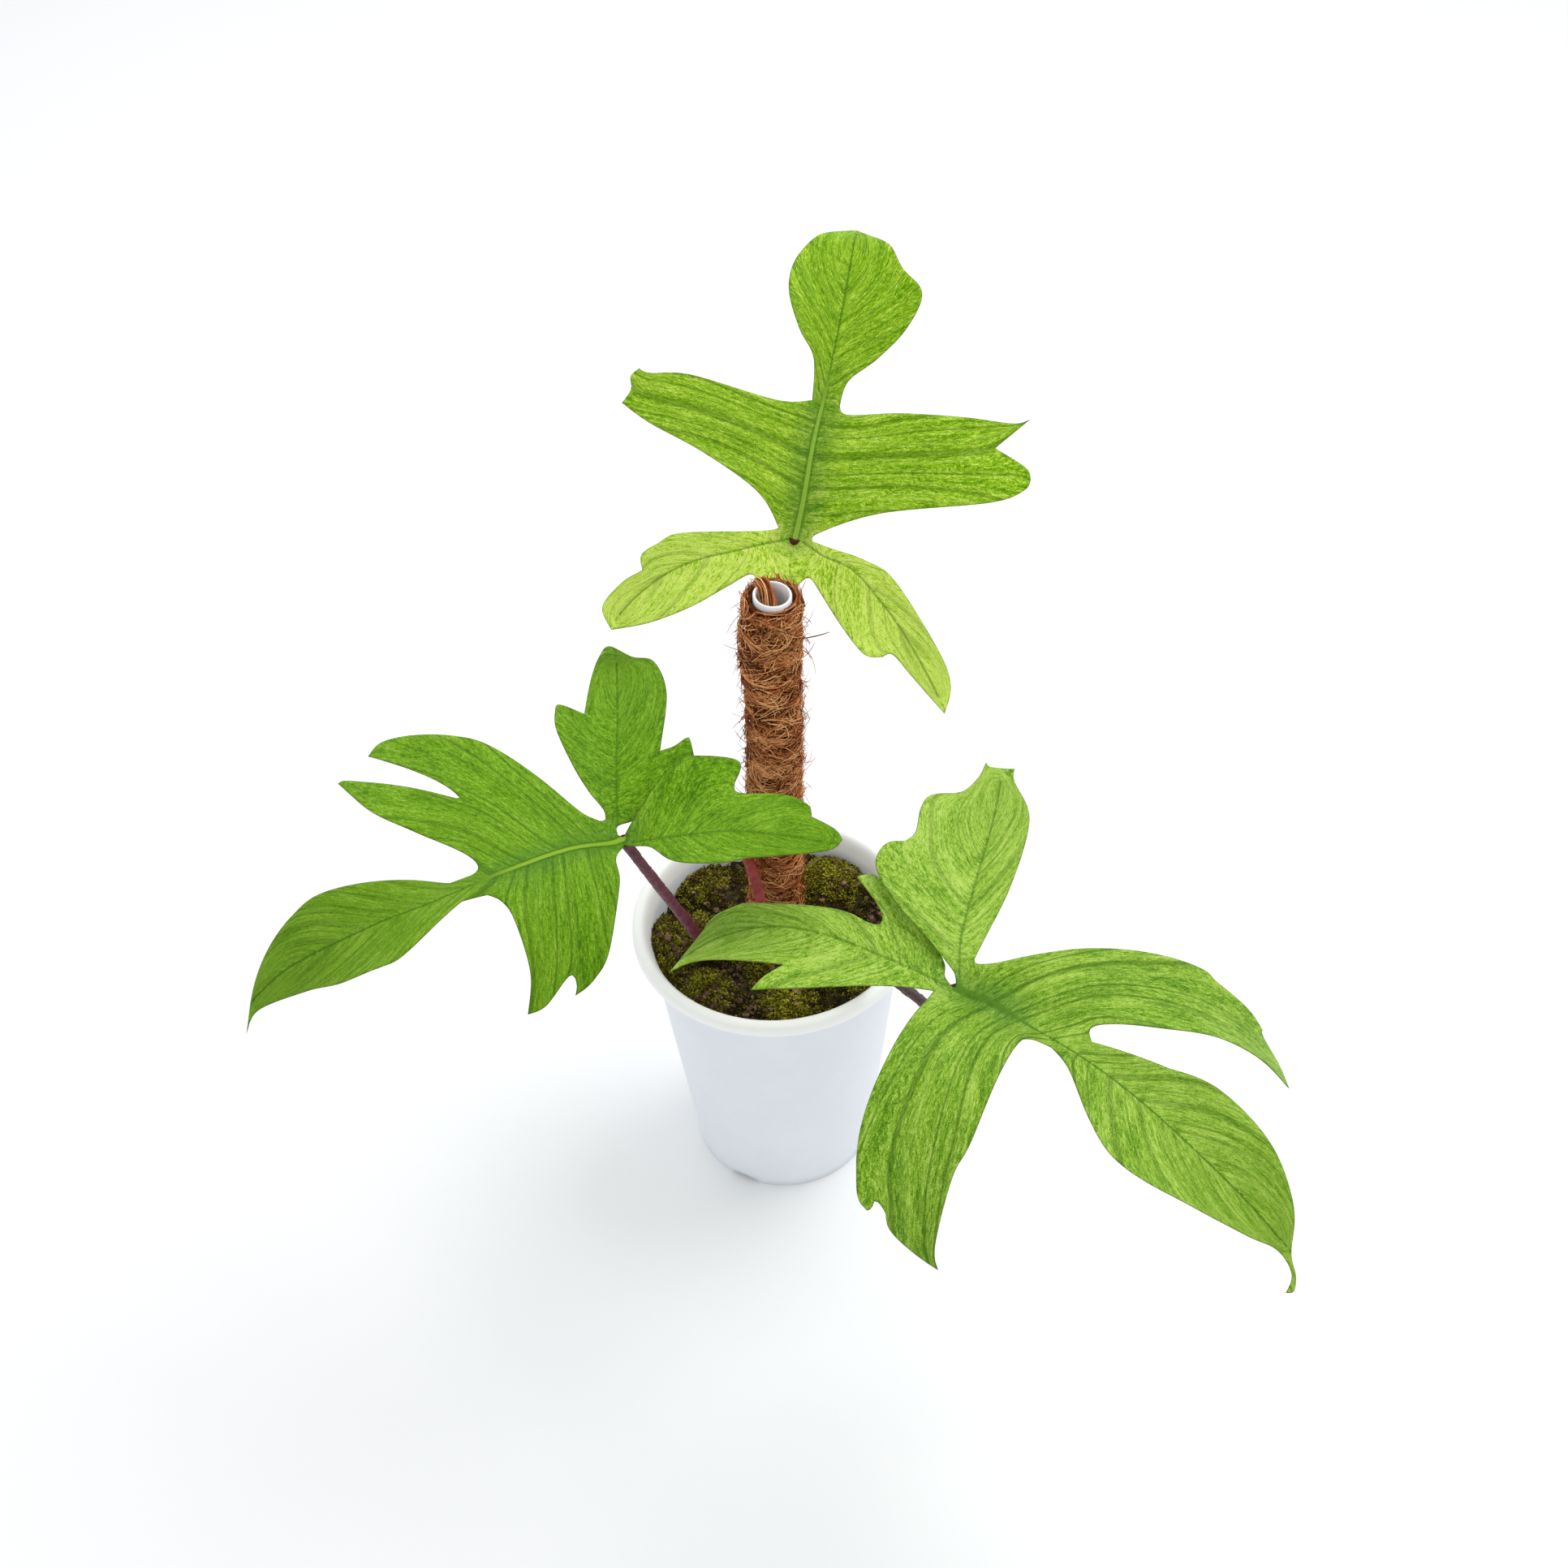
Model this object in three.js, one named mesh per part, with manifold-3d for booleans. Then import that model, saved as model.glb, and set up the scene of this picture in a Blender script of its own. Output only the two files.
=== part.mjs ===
// Potted florida ghost philodendron: three lobed leaves on long stalks beside a coir moss pole, in a
// white nursery pot. Millimetres, +Z up, with the origin under the middle of the pot.
import * as THREE from "three";
import { mergeVertices } from "three/addons/utils/BufferGeometryUtils.js";
import Module from "manifold-3d";

// Clear gap that neighbouring pieces keep.
const GAP = 0.3;

// Pot: a straight tapered wall under a thick rolled rim.
const POT_HEIGHT = 132;
const FOOT_RADIUS = 38.2;
const FOOT_WIDTH = 2.2;
const FOOT_ROUND = 0.7;
const SHOULDER_RADIUS = 51.5;
const SHOULDER_Z = 125.5;
const WALL = 1.3;
const RIM_RADIUS = 57.7;
const RIM_ROUND = 2.2;
const RIM_MOUTH_RADIUS = 52;
const RIM_MOUTH_DEPTH = 8;
const FLOOR_TOP = 4.5;
const FLOOR_UNDERSIDE = 3;
const PAD_RADIUS = 9;
const FOOT_ARCHES = 4;
const ARCH_WIDTH = 13;
const ARCH_HEIGHT = 2.8;
const ARCH_ANGLE = -119;
const ARCH_SIDES = 40;
const DRAIN_HOLES = 6;
const DRAIN_RADIUS = 4;
const DRAIN_CIRCLE = 24;
const DRAIN_SIDES = 16;
const POT_SIDES = 56;

// Soil with its moss: low cushions from a seeded draw.
const MOSS_Z = 115.5;
const MOSS_CUSHION = 4.5;
const MOSS_CUSHIONS = 70;
const MOSS_CUSHION_RADIUS = 9;
const SOIL_RINGS = 13;
const SOIL_SIDES = 48;
const SOIL_SEED = 7;

// Moss pole: a 30 cm white tube in a coir sleeve, leaning a little to the front right.
const POLE_FOOT = new THREE.Vector3(-2.65, 2.8, 6);
const POLE_TOP = new THREE.Vector3(5.2, -6, 304);
const TUBE_RADIUS = 7;
const TUBE_WALL = 1;
const COIR_RADIUS = 10.7;
const COIR_SHORT_OF_TUBE = 3;
const COIR_LAY = 0.45;
const COIR_PITCH = 9;
const COIR_ROW = 5.2;
const COIR_PLAIN_LENGTH = MOSS_Z + MOSS_CUSHION - POLE_FOOT.z;
const COIR_SIDES = 24;
const COIR_BULGE = 1.4;
const COIR_BULGE_HEIGHT = 275;
const COIR_BULGE_REACH = 14;
const COIR_BULGE_ANGLE = 190;
const TWIST_RADIUS = 2.3;
const TWIST_ANGLE = 125;
const TWIST_CREST = 3.3;
const TWIST_TAPER = 0.8;
const TWIST_STEPS = 26;
const TWIST_SIDES = 10;

// Leaf blades.
const BLADE = 0.8;
const MARGIN_STEP = 3.4;
const INNER_STEP = 7;
const INNER_CLEAR = 3.9;
const RIB_CLEAR = 1.5;
const RIB_HEIGHT = 1.1;
const RIB_HALF_WIDTH = 2.2;
const RIB_STEP = 6;
const VALLEY_WIDTH = 16;
const LAP_REACH = 5;

// Stalks: they taper from the soil to the blade.
const STALK_BURIED = 14;
const STALK_FOOT_RADIUS = 2.25;
const STALK_TIP_RADIUS = 1.8;
const STALK_SIDES = 12;
const STALK_STEPS = 26;

const wasm = await Module();
wasm.setup();

const radians = THREE.MathUtils.degToRad;
const at = (x, y, z) => new THREE.Vector3(x, y, z);

// Each leaf: its junction with the stalk, the direction of its midrib, how far each rear lobe is turned
// in towards the other one and lifted over it, the valleys along its ribs, and its drooping lobes.
// The margin and the ribs are drawn on the leaf laid flat, as [along the midrib, to its left] from the
// junction. The margin runs from the tip round the left lobes to the sinus and back round the right
// lobes. Each of its strokes is one smooth stretch that ends at a corner.
const LEFT_LEAF = {
  junction: at(-49.5, -67, 249),
  heading: 200,
  pitch: 0,
  roll: -2,
  turn: { left: 46, right: 4 },
  lap: { left: 4, right: -1.5 },
  valleys: [
    { angle: 0, depth: 7 },
    { angle: 140, depth: 7 },
    { angle: -104, depth: 7 },
  ],
  droops: [
    { angle: 4, spread: 34, start: 45, drop: 80 },
    { angle: 58, spread: 45, start: 15, drop: 110 },
    { angle: -32, spread: 36, start: 45, drop: 40 },
    { angle: 140, spread: 45, start: 70, drop: 30 },
    { angle: -104, spread: 45, start: 60, drop: 20 },
  ],
  tip: [138.5, -9],
  margin: {
    terminalLeft: [[132, -10], [114.5, 2], [102.5, 16], [90.5, 25.5], [81, 26.5], [60.5, 18.5]],
    neckLeft: [[52, 19.5]],
    lateralLeftFront: [[48.5, 23], [46.5, 29], [46.5, 43], [51, 51.5]],
    lateralLeftEnd: [[44.5, 51.5], [35, 48], [33.5, 50.5], [35, 53]],
    lateralLeftRear: [[28, 52.5], [20.5, 48], [10.5, 30.5], [7.5, 17.5], [0.5, 3]],
    rearLeftOuter: [[-4, 13.5], [-7, 28.5], [-16.5, 39.5], [-24, 45], [-41, 60], [-46.5, 61]],
    rearLeftEnd: [[-46.5, 56.5], [-43.5, 48]],
    rearLeftBay: [[-45, 44.5], [-41.5, 36.5], [-32.5, 26.5], [-32, 23.5], [-39, 22], [-31.5, 11]],
    rearLeftInner: [[-25.5, 7], [-5.5, 1], [-1, 0]],
    sinus: [[1, -2.5]],
    rearRightInner: [[-0.5, -5.5], [-11, -4.5], [-20.5, -6], [-27.5, -10.5], [-31, -16]],
    rearRightFinger: [[-32, -23], [-31, -24], [-26, -22.5], [-21.5, -23]],
    rearRightEnd: [
      [-32, -46], [-33.5, -63.5], [-28, -70.5], [-23, -81.5], [-18, -77.5], [-11.5, -66.5], [-3.5, -49.5],
    ],
    rearRightOuter: [[3.5, -55], [6, -52.5], [8.5, -43.5], [8, -27.5], [6, -17.5], [3, -11], [3.5, -8]],
    lateralRightRear: [
      [6.5, -8], [14, -14], [32, -42.5], [42.5, -52.5], [56.5, -61], [66.5, -64.5], [72, -61.5],
    ],
    lateralRightNotch: [[55.5, -37.5], [49.5, -26.5], [51.5, -26], [73.5, -47.5], [82, -56.5], [84.5, -57]],
    lateralRightFront: [[78, -35], [66.5, -18], [54, -4], [51, 3], [53.5, 7], [61.5, 6.5]],
    terminalRight: [[74, -4.5], [100, -19], [112, -21.5], [123, -20.5], [131.5, -16.5], [138.5, -9]],
  },
  ribs: [
    [[0, 0], [20, 6], [44, 11.5], [67, 12], [88, 3], [117, -9.5]],
    [[0, 1], [-8.5, 15], [-23, 31.5], [-38, 52]],
    [[0.5, -4], [-3, -14.5], [-7, -26], [-14.5, -46.5], [-21, -66]],
  ],
};

const RIGHT_LEAF = {
  junction: at(59.5, -124, 230),
  heading: -42,
  pitch: 0,
  roll: 0,
  turn: { left: 4, right: 34 },
  lap: { left: 3, right: -1 },
  valleys: [
    { angle: 0, depth: 5 },
    { angle: 114, depth: 5 },
    { angle: -142, depth: 5 },
  ],
  droops: [
    { angle: 0, spread: 30, start: 40, drop: 52 },
    { angle: -62, spread: 42, start: 25, drop: 105 },
    { angle: 38, spread: 34, start: 35, drop: 85 },
    { angle: 114, spread: 45, start: 60, drop: 10 },
    { angle: -142, spread: 42, start: 30, drop: 25 },
  ],
  tip: [136, -10.5],
  margin: {
    terminalLeft: [
      [136.8, -6.5], [134.5, -1.5], [130, 2], [123.5, 11], [108.5, 18.5], [88.5, 18.5], [74, 12],
    ],
    neckLeft: [[50.5, 3.5]],
    lateralLeftFront: [[48.5, 9], [66, 24], [79.5, 41.5], [89, 51], [99, 50]],
    lateralLeftEnd: [[90.5, 61], [80.5, 65], [79, 67]],
    lateralLeftRear: [[73, 67], [62.5, 61.5], [56, 58.5], [33, 36], [11, 16.5], [1.5, 11], [-1, 11.5]],
    rearLeftOuter: [[-7, 39], [-20, 69.5], [-36, 84], [-39.5, 89.5]],
    rearLeftEnd: [
      [-46, 84], [-48, 84.5], [-45.5, 76.5], [-45, 66], [-51, 57.5], [-50, 50], [-44.5, 39.5], [-44.5, 34],
    ],
    rearLeftInner: [[-48.5, 29], [-46.5, 20.5], [-39, 14], [-26, 8.5], [-8, 5], [-3.5, 4], [-1, 1.5]],
    sinus: [[-0.6, 0], [-2, -0.6]],
    rearRightInner: [[-6, -1.5], [-10.5, -0.5], [-21, -3], [-45, -10], [-49, -13], [-50, -16]],
    rearRightFinger: [[-35.5, -13], [-30, -13.5], [-32, -16.5], [-42.5, -23.5], [-65.5, -45.5]],
    rearRightEnd: [[-68.5, -53.5], [-65.5, -59.5], [-62, -67.5], [-60.5, -73]],
    rearRightNotch: [[-58, -66], [-52, -58.5], [-36.5, -43.5]],
    rearRightSpur: [[-37.5, -50.5], [-37, -56.5]],
    rearRightOuter: [[-22, -36.5], [-3.5, -7]],
    lateralRightRear: [[9.5, -58.5], [19, -76], [24.5, -78], [25.5, -76]],
    lateralRightEnd: [[25.5, -74.5], [29, -74.5], [33.5, -76.5], [50, -74.5]],
    lateralRightFront: [[46, -71], [41.5, -56.5], [41, -45.5], [34, -15], [35, -8.5], [42.5, -7]],
    terminalRight: [
      [51.5, -11], [67.5, -23.5], [80.5, -30.5], [93, -29.5], [106.5, -21], [118.5, -10], [126, -3.5],
      [132.5, -5], [136, -10.5],
    ],
  },
  ribs: [
    [[0, 0.5], [28.5, -3], [54, -3.5], [90, -2.5], [120, 0.5]],
    [[-1.5, 4], [-8, 13.5], [-22, 45], [-37, 75]],
    [[-2.5, -1.5], [-19, -15.5], [-40.5, -31.5], [-52.5, -43], [-58, -52]],
  ],
};

const TOP_LEAF = {
  junction: at(14.2, 26, 303),
  heading: 80,
  pitch: 50,
  roll: 0,
  turn: { left: 0, right: 0 },
  lap: { left: 0, right: 0 },
  valleys: [
    { angle: 0, depth: 3 },
    { angle: 108, depth: 3 },
    { angle: -126, depth: 3 },
  ],
  droops: [
    { angle: 0, spread: 30, start: 60, drop: 60 },
    { angle: -7, spread: 14, start: 104, drop: 1500 },
    { angle: 60, spread: 50, start: 30, drop: 18 },
    { angle: -62, spread: 50, start: 30, drop: 18 },
    { angle: 118, spread: 40, start: 30, drop: 15 },
    { angle: -130, spread: 40, start: 30, drop: 15 },
  ],
  tip: [110.5, -13],
  margin: {
    terminalLeft: [
      [110, -9], [107.5, -0.5], [99, 6], [91, 8], [83, 7], [72, 2.5], [62.5, -3], [48, -3.5],
    ],
    lateralLeftFront: [[47.5, 9.5], [54.5, 40], [54.5, 55], [56, 59]],
    lateralLeftEnd: [[53, 62], [48.5, 61.5], [43.5, 64.5]],
    lateralLeftRear: [[37, 54], [28.5, 35.5], [19, 19], [12, 11], [3, 6]],
    rearLeftOuter: [[1.5, 13], [-1, 40], [-5, 48], [-9.5, 54], [-15, 53.5]],
    rearLeftEnd: [[-20, 61], [-29, 67.5], [-37, 63.5]],
    rearLeftInner: [[-33.5, 49.5], [-27, 35], [-19, 22.5], [-14, 14.5], [-17, 11.5]],
    sinus: [[-18, 4], [-16.5, -3]],
    rearRightInner: [[-14, -6.5], [-20, -11.5], [-30.5, -19.5], [-39.5, -28], [-40, -34.5]],
    rearRightEnd: [[-39, -38], [-46.5, -45.5], [-58.5, -57.5]],
    rearRightOuter: [[-48.5, -59], [-36.5, -54], [-13, -37], [-6.5, -26], [-3, -13.5], [-1, -6.5]],
    lateralRightRear: [[2, -8.5], [10, -30.5], [16, -68], [21, -79.5], [25, -81.5]],
    lateralRightEnd: [[29, -79.5], [35, -68.5]],
    lateralRightSpur: [[46, -80]],
    lateralRightFront: [[44, -74], [45, -57.5], [45, -35], [43.5, -16.5], [46.5, -13.5]],
    terminalRight: [
      [55, -16], [63, -25.5], [74, -35], [86.5, -39.5], [95, -32], [103.5, -26.5], [108, -18], [110.5, -13],
    ],
  },
  ribs: [
    [[0, 0], [23.5, -4], [53.5, -8.5], [84.5, -12.5], [102, -13.5]],
    [[-0.5, 1.5], [-6.5, 22], [-16, 45], [-28, 58]],
    [[-1.5, -3], [-10, -21.5], [-29.5, -40], [-49, -53]],
  ],
};

// Stalks: smooth curves from the moss to just under each blade's junction.
const LEFT_STALK = new THREE.CubicBezierCurve3(
  at(-26.4, -7.1, 117),
  at(-30.6, -21.1, 149.7),
  at(-37.9, -60.1, 212.4),
  at(-49.5, -67, 249),
);
const RIGHT_STALK = new THREE.CubicBezierCurve3(
  at(22, -21, 117),
  at(41.5, -37, 165),
  at(62.5, -119, 178),
  at(59.5, -124, 230),
);
const TOP_STALK = new THREE.CatmullRomCurve3([
  at(-7.9, -12.3, 117),
  at(-5.6, -16.6, 134),
  at(-4.4, -19, 151),
  at(-5.6, -17.4, 167.5),
  at(-8.7, -12.6, 178.5),
  at(-12.3, -4, 183.5),
  at(-10.5, 5, 187.5),
  at(-4, 11, 196.5),
  at(1, 16, 226),
  at(8, 22, 266),
  at(14.2, 26, 303),
]);

// Solid of a closed geometry.
function solidOf(geometry) {
  const bare = geometry.clone();
  bare.deleteAttribute("normal");
  bare.deleteAttribute("uv");
  const merged = mergeVertices(bare, 1e-4);
  return new wasm.Manifold(
    new wasm.Mesh({
      numProp: 3,
      vertProperties: merged.attributes.position.array,
      triVerts: new Uint32Array(merged.index.array),
    }),
  );
}

// Geometry of a solid, with flat normals.
function geometryOf(solid) {
  const mesh = solid.getMesh();
  const geometry = new THREE.BufferGeometry();
  geometry.setAttribute("position", new THREE.BufferAttribute(mesh.vertProperties, 3));
  geometry.setIndex(new THREE.BufferAttribute(mesh.triVerts, 1));
  geometry.computeVertexNormals();
  return geometry;
}

// The largest body of a solid, without loose scraps.
function largestBody(solid) {
  const bodies = solid.decompose();
  return bodies.reduce((most, body) => (body.volume() > most.volume() ? body : most));
}

// Seeded draw between 0 and 1.
function seeded(seed) {
  let state = seed;
  return () => {
    state = (state * 1664525 + 1013904223) % 4294967296;
    return state / 4294967296;
  };
}

// A body turned about +Z from a profile of [radius, height] points.
function turned(profile, sides) {
  const geometry = new THREE.LatheGeometry(
    profile.map(([r, z]) => new THREE.Vector2(r, z)),
    sides,
  );
  return geometry.rotateX(Math.PI / 2);
}

// Moves every vertex of a geometry by a function of its position.
function displaced(geometry, move) {
  const position = geometry.attributes.position;
  const point = new THREE.Vector3();
  for (let i = 0; i < position.count; i++) {
    move(point.fromBufferAttribute(position, i));
    position.setXYZ(i, point.x, point.y, point.z);
  }
  return geometry;
}

// A round limb along a curve, closed at both ends, whose radius changes evenly from foot to tip.
function limb(curve, footRadius, tipRadius, steps, sides) {
  const frames = curve.computeFrenetFrames(steps, false);
  const positions = [];
  const faces = [];
  for (let i = 0; i <= steps; i++) {
    const centre = curve.getPointAt(i / steps);
    const radius = THREE.MathUtils.lerp(footRadius, tipRadius, i / steps);
    for (let j = 0; j < sides; j++) {
      const angle = (2 * Math.PI * j) / sides;
      const point = centre
        .clone()
        .addScaledVector(frames.normals[i], radius * Math.cos(angle))
        .addScaledVector(frames.binormals[i], radius * Math.sin(angle));
      positions.push(point.x, point.y, point.z);
    }
  }
  for (let i = 0; i < steps; i++) {
    for (let j = 0; j < sides; j++) {
      const a = i * sides + j;
      const b = i * sides + ((j + 1) % sides);
      faces.push(a, b, a + sides, b, b + sides, a + sides);
    }
  }
  const last = steps * sides;
  for (let j = 1; j < sides - 1; j++) {
    faces.push(0, j + 1, j, last, last + j, last + j + 1);
  }
  const geometry = new THREE.BufferGeometry();
  geometry.setAttribute("position", new THREE.Float32BufferAttribute(positions, 3));
  geometry.setIndex(faces);
  return geometry;
}

// Radius of the pot's inside at a height.
function potInside(z) {
  const t = (z - FLOOR_TOP) / (SHOULDER_Z - FLOOR_TOP);
  return THREE.MathUtils.lerp(FOOT_RADIUS, SHOULDER_RADIUS, t) - WALL;
}

function potProfile() {
  const innerFoot = FOOT_RADIUS - FOOT_WIDTH;
  const mouthZ = POT_HEIGHT - RIM_MOUTH_DEPTH;
  const path = new THREE.Path();
  path.moveTo(0, 0);
  path.lineTo(PAD_RADIUS, 0);
  path.lineTo(PAD_RADIUS, FLOOR_UNDERSIDE);
  path.lineTo(innerFoot, FLOOR_UNDERSIDE);
  path.lineTo(innerFoot, 0);
  path.lineTo(FOOT_RADIUS - FOOT_ROUND, 0);
  path.lineTo(FOOT_RADIUS, FOOT_ROUND);
  path.lineTo(SHOULDER_RADIUS, SHOULDER_Z);
  path.lineTo(RIM_RADIUS - RIM_ROUND, SHOULDER_Z);
  path.quadraticCurveTo(RIM_RADIUS, SHOULDER_Z, RIM_RADIUS, SHOULDER_Z + RIM_ROUND);
  path.lineTo(RIM_RADIUS, POT_HEIGHT - RIM_ROUND);
  path.quadraticCurveTo(RIM_RADIUS, POT_HEIGHT, RIM_RADIUS - RIM_ROUND, POT_HEIGHT);
  path.lineTo(RIM_MOUTH_RADIUS + RIM_ROUND, POT_HEIGHT);
  path.quadraticCurveTo(RIM_MOUTH_RADIUS, POT_HEIGHT, potInside(mouthZ), mouthZ);
  path.lineTo(potInside(FLOOR_TOP), FLOOR_TOP);
  path.lineTo(0, FLOOR_TOP);
  return path.getPoints(3).map((point) => [point.x, point.y]);
}

// One shallow arch in the foot ring, as a round bar that lies across it.
function archCutter(angle) {
  const half = ARCH_WIDTH / 2;
  const radius = (half * half + ARCH_HEIGHT * ARCH_HEIGHT) / (2 * ARCH_HEIGHT);
  const bar = new THREE.CylinderGeometry(radius, radius, 4 * FOOT_WIDTH, ARCH_SIDES);
  bar.rotateZ(Math.PI / 2);
  bar.translate(FOOT_RADIUS - FOOT_WIDTH / 2, 0, ARCH_HEIGHT - radius);
  return solidOf(bar.rotateZ(radians(angle)));
}

function drainCutter(angle) {
  const drill = new THREE.CylinderGeometry(DRAIN_RADIUS, DRAIN_RADIUS, 4 * FLOOR_TOP, DRAIN_SIDES);
  drill.rotateX(Math.PI / 2);
  drill.translate(DRAIN_CIRCLE, 0, 0);
  return solidOf(drill.rotateZ(radians(angle)));
}

function pot() {
  let solid = solidOf(turned(potProfile(), POT_SIDES));
  for (let i = 0; i < FOOT_ARCHES; i++) {
    solid = solid.subtract(archCutter(ARCH_ANGLE + (360 * i) / FOOT_ARCHES));
  }
  for (let i = 0; i < DRAIN_HOLES; i++) {
    solid = solid.subtract(drainCutter((360 * i) / DRAIN_HOLES));
  }
  return geometryOf(solid);
}

// Height of the moss above its lowest level: the highest of the cushions there.
function mossRelief() {
  const random = seeded(SOIL_SEED);
  const cushions = Array.from({ length: MOSS_CUSHIONS }, () => {
    const distance = potInside(MOSS_Z) * Math.sqrt(random());
    const angle = 2 * Math.PI * random();
    return {
      x: distance * Math.cos(angle),
      y: distance * Math.sin(angle),
      radius: MOSS_CUSHION_RADIUS * (0.6 + 0.6 * random()),
      height: MOSS_CUSHION * (0.4 + 0.6 * random()),
    };
  });
  return (x, y) =>
    cushions.reduce((highest, cushion) => {
      const spread = Math.hypot(x - cushion.x, y - cushion.y) / cushion.radius;
      return Math.max(highest, cushion.height * (1 - spread * spread));
    }, 0);
}

// A straight bar around the whole pole, for the plain hole that it stands in.
function poleCutter() {
  const radius = COIR_RADIUS + GAP;
  const bar = new THREE.CylinderGeometry(radius, radius, POLE_LENGTH + GAP, COIR_SIDES);
  bar.rotateX(Math.PI / 2);
  bar.translate(0, 0, (POLE_LENGTH - GAP) / 2);
  return solidOf(bar.applyQuaternion(POLE_LEAN).translate(POLE_FOOT.x, POLE_FOOT.y, POLE_FOOT.z));
}

function soil(stalks) {
  const bottom = FLOOR_TOP + GAP;
  const edge = potInside(MOSS_Z) - 2 * GAP;
  const profile = [[0, bottom], [potInside(bottom) - 2 * GAP, bottom]];
  for (let i = SOIL_RINGS; i >= 0; i--) {
    profile.push([(edge * i) / SOIL_RINGS, MOSS_Z]);
  }
  const relief = mossRelief();
  const body = displaced(turned(profile, SOIL_SIDES), (point) => {
    const inner = Math.hypot(point.x, point.y) < edge - GAP;
    if (point.z > MOSS_Z - GAP && inner) point.z += relief(point.x, point.y);
  });
  const holes = stalks.map((curve) =>
    solidOf(limb(curve, STALK_FOOT_RADIUS + GAP, STALK_TIP_RADIUS + GAP, STALK_STEPS, STALK_SIDES)),
  );
  let solid = solidOf(body).subtract(poleCutter());
  holes.forEach((hole) => (solid = solid.subtract(hole)));
  return geometryOf(largestBody(solid));
}

const POLE_AXIS = POLE_TOP.clone().sub(POLE_FOOT);
const POLE_LENGTH = POLE_AXIS.length();
const POLE_LEAN = new THREE.Quaternion().setFromUnitVectors(at(0, 0, 1), POLE_AXIS.clone().normalize());

function poleTube() {
  const bore = TUBE_RADIUS - TUBE_WALL;
  return turned(
    [[bore, 0], [TUBE_RADIUS, 0], [TUBE_RADIUS, POLE_LENGTH], [bore, POLE_LENGTH], [bore, 0]],
    2 * COIR_SIDES,
  );
}

// How far the coir stands out at a place: slanting wraps, and one bulge near the top.
function coirRelief(angle, z) {
  const wraps = COIR_LAY * Math.sin((2 * Math.PI * z) / COIR_PITCH + angle);
  const crossing = (COIR_LAY / 2) * Math.sin((3 * Math.PI * z) / COIR_PITCH - 3 * angle);
  const rise = Math.exp(-(((z - COIR_BULGE_HEIGHT) / COIR_BULGE_REACH) ** 2));
  const bulge = COIR_BULGE * rise * Math.max(0, Math.cos(angle - radians(COIR_BULGE_ANGLE)));
  return wraps + crossing + bulge;
}

// The coir that is folded over the tube's rim into its bore, in the plane of one radius.
function coirTwist() {
  const rimRadius = TUBE_RADIUS - TUBE_WALL / 2;
  const outside = rimRadius + TWIST_CREST;
  const inside = rimRadius - TWIST_CREST;
  const diagonal = TWIST_CREST * Math.SQRT1_2;
  const route = [
    [outside - 0.3, -14],
    [outside, -4],
    [outside, 0],
    [rimRadius + diagonal, diagonal],
    [rimRadius, TWIST_CREST],
    [rimRadius - diagonal, diagonal],
    [inside, 0],
    [inside - 0.7, -6],
    [inside - 2, -16],
  ];
  const curve = new THREE.CatmullRomCurve3(route.map(([r, rise]) => at(r, 0, POLE_LENGTH + rise)));
  const rope = limb(curve, TWIST_RADIUS, TWIST_RADIUS * TWIST_TAPER, TWIST_STEPS, TWIST_SIDES);
  return rope.rotateZ(radians(TWIST_ANGLE));
}

function coirSleeve() {
  const bore = TUBE_RADIUS + GAP;
  const top = POLE_LENGTH - COIR_SHORT_OF_TUBE;
  const rows = Math.round((top - COIR_PLAIN_LENGTH) / COIR_ROW);
  const profile = [[bore, 0], [COIR_RADIUS, 0]];
  for (let i = 0; i <= rows; i++) {
    profile.push([COIR_RADIUS, COIR_PLAIN_LENGTH + ((top - COIR_PLAIN_LENGTH) * i) / rows]);
  }
  profile.push([bore + 1, top + 1.5], [bore, top + 1], [bore, 0]);
  const sleeve = displaced(turned(profile, COIR_SIDES), (point) => {
    const angle = Math.atan2(point.y, point.x);
    const radius = Math.hypot(point.x, point.y);
    if (radius < COIR_RADIUS - GAP || point.z <= COIR_PLAIN_LENGTH) return;
    const scale = 1 + coirRelief(angle, point.z) / radius;
    point.x *= scale;
    point.y *= scale;
  });
  return geometryOf(largestBody(solidOf(sleeve).add(solidOf(coirTwist()))));
}

// A smooth step from 0 to 1.
function eased(t) {
  const x = THREE.MathUtils.clamp(t, 0, 1);
  return x * x * (3 - 2 * x);
}

// Height of a leaf over its plane at a distance and a direction from the junction.
function bladeRise(leaf, distance, degrees) {
  let rise = 0;
  for (const { angle, depth } of leaf.valleys) {
    const apart = Math.abs(THREE.MathUtils.euclideanModulo(degrees - angle + 180, 360) - 180);
    const aside = (distance * Math.sin(radians(Math.min(apart, 90)))) ** 2;
    rise += (depth * aside) / (aside + VALLEY_WIDTH ** 2);
  }
  for (const { angle, spread, start, drop } of leaf.droops) {
    const share = THREE.MathUtils.clamp((degrees - angle) / spread, -1, 1);
    const past = Math.max(0, distance - start) / 100;
    rise -= drop * (0.5 + 0.5 * Math.cos(Math.PI * share)) * past * past;
  }
  const lap = degrees > 0 ? leaf.lap.left : leaf.lap.right;
  return rise + lap * eased((Math.abs(degrees) - 90) / 90) * (1 - Math.exp(-distance / LAP_REACH));
}

// The leaf's own axes: along the midrib, to its left and up.
function leafAxes(leaf) {
  const lean = new THREE.Euler(radians(leaf.roll), radians(-leaf.pitch), radians(leaf.heading), "ZYX");
  const turn = new THREE.Quaternion().setFromEuler(lean);
  return [at(1, 0, 0), at(0, 1, 0), at(0, 0, 1)].map((axis) => axis.applyQuaternion(turn));
}

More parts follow.
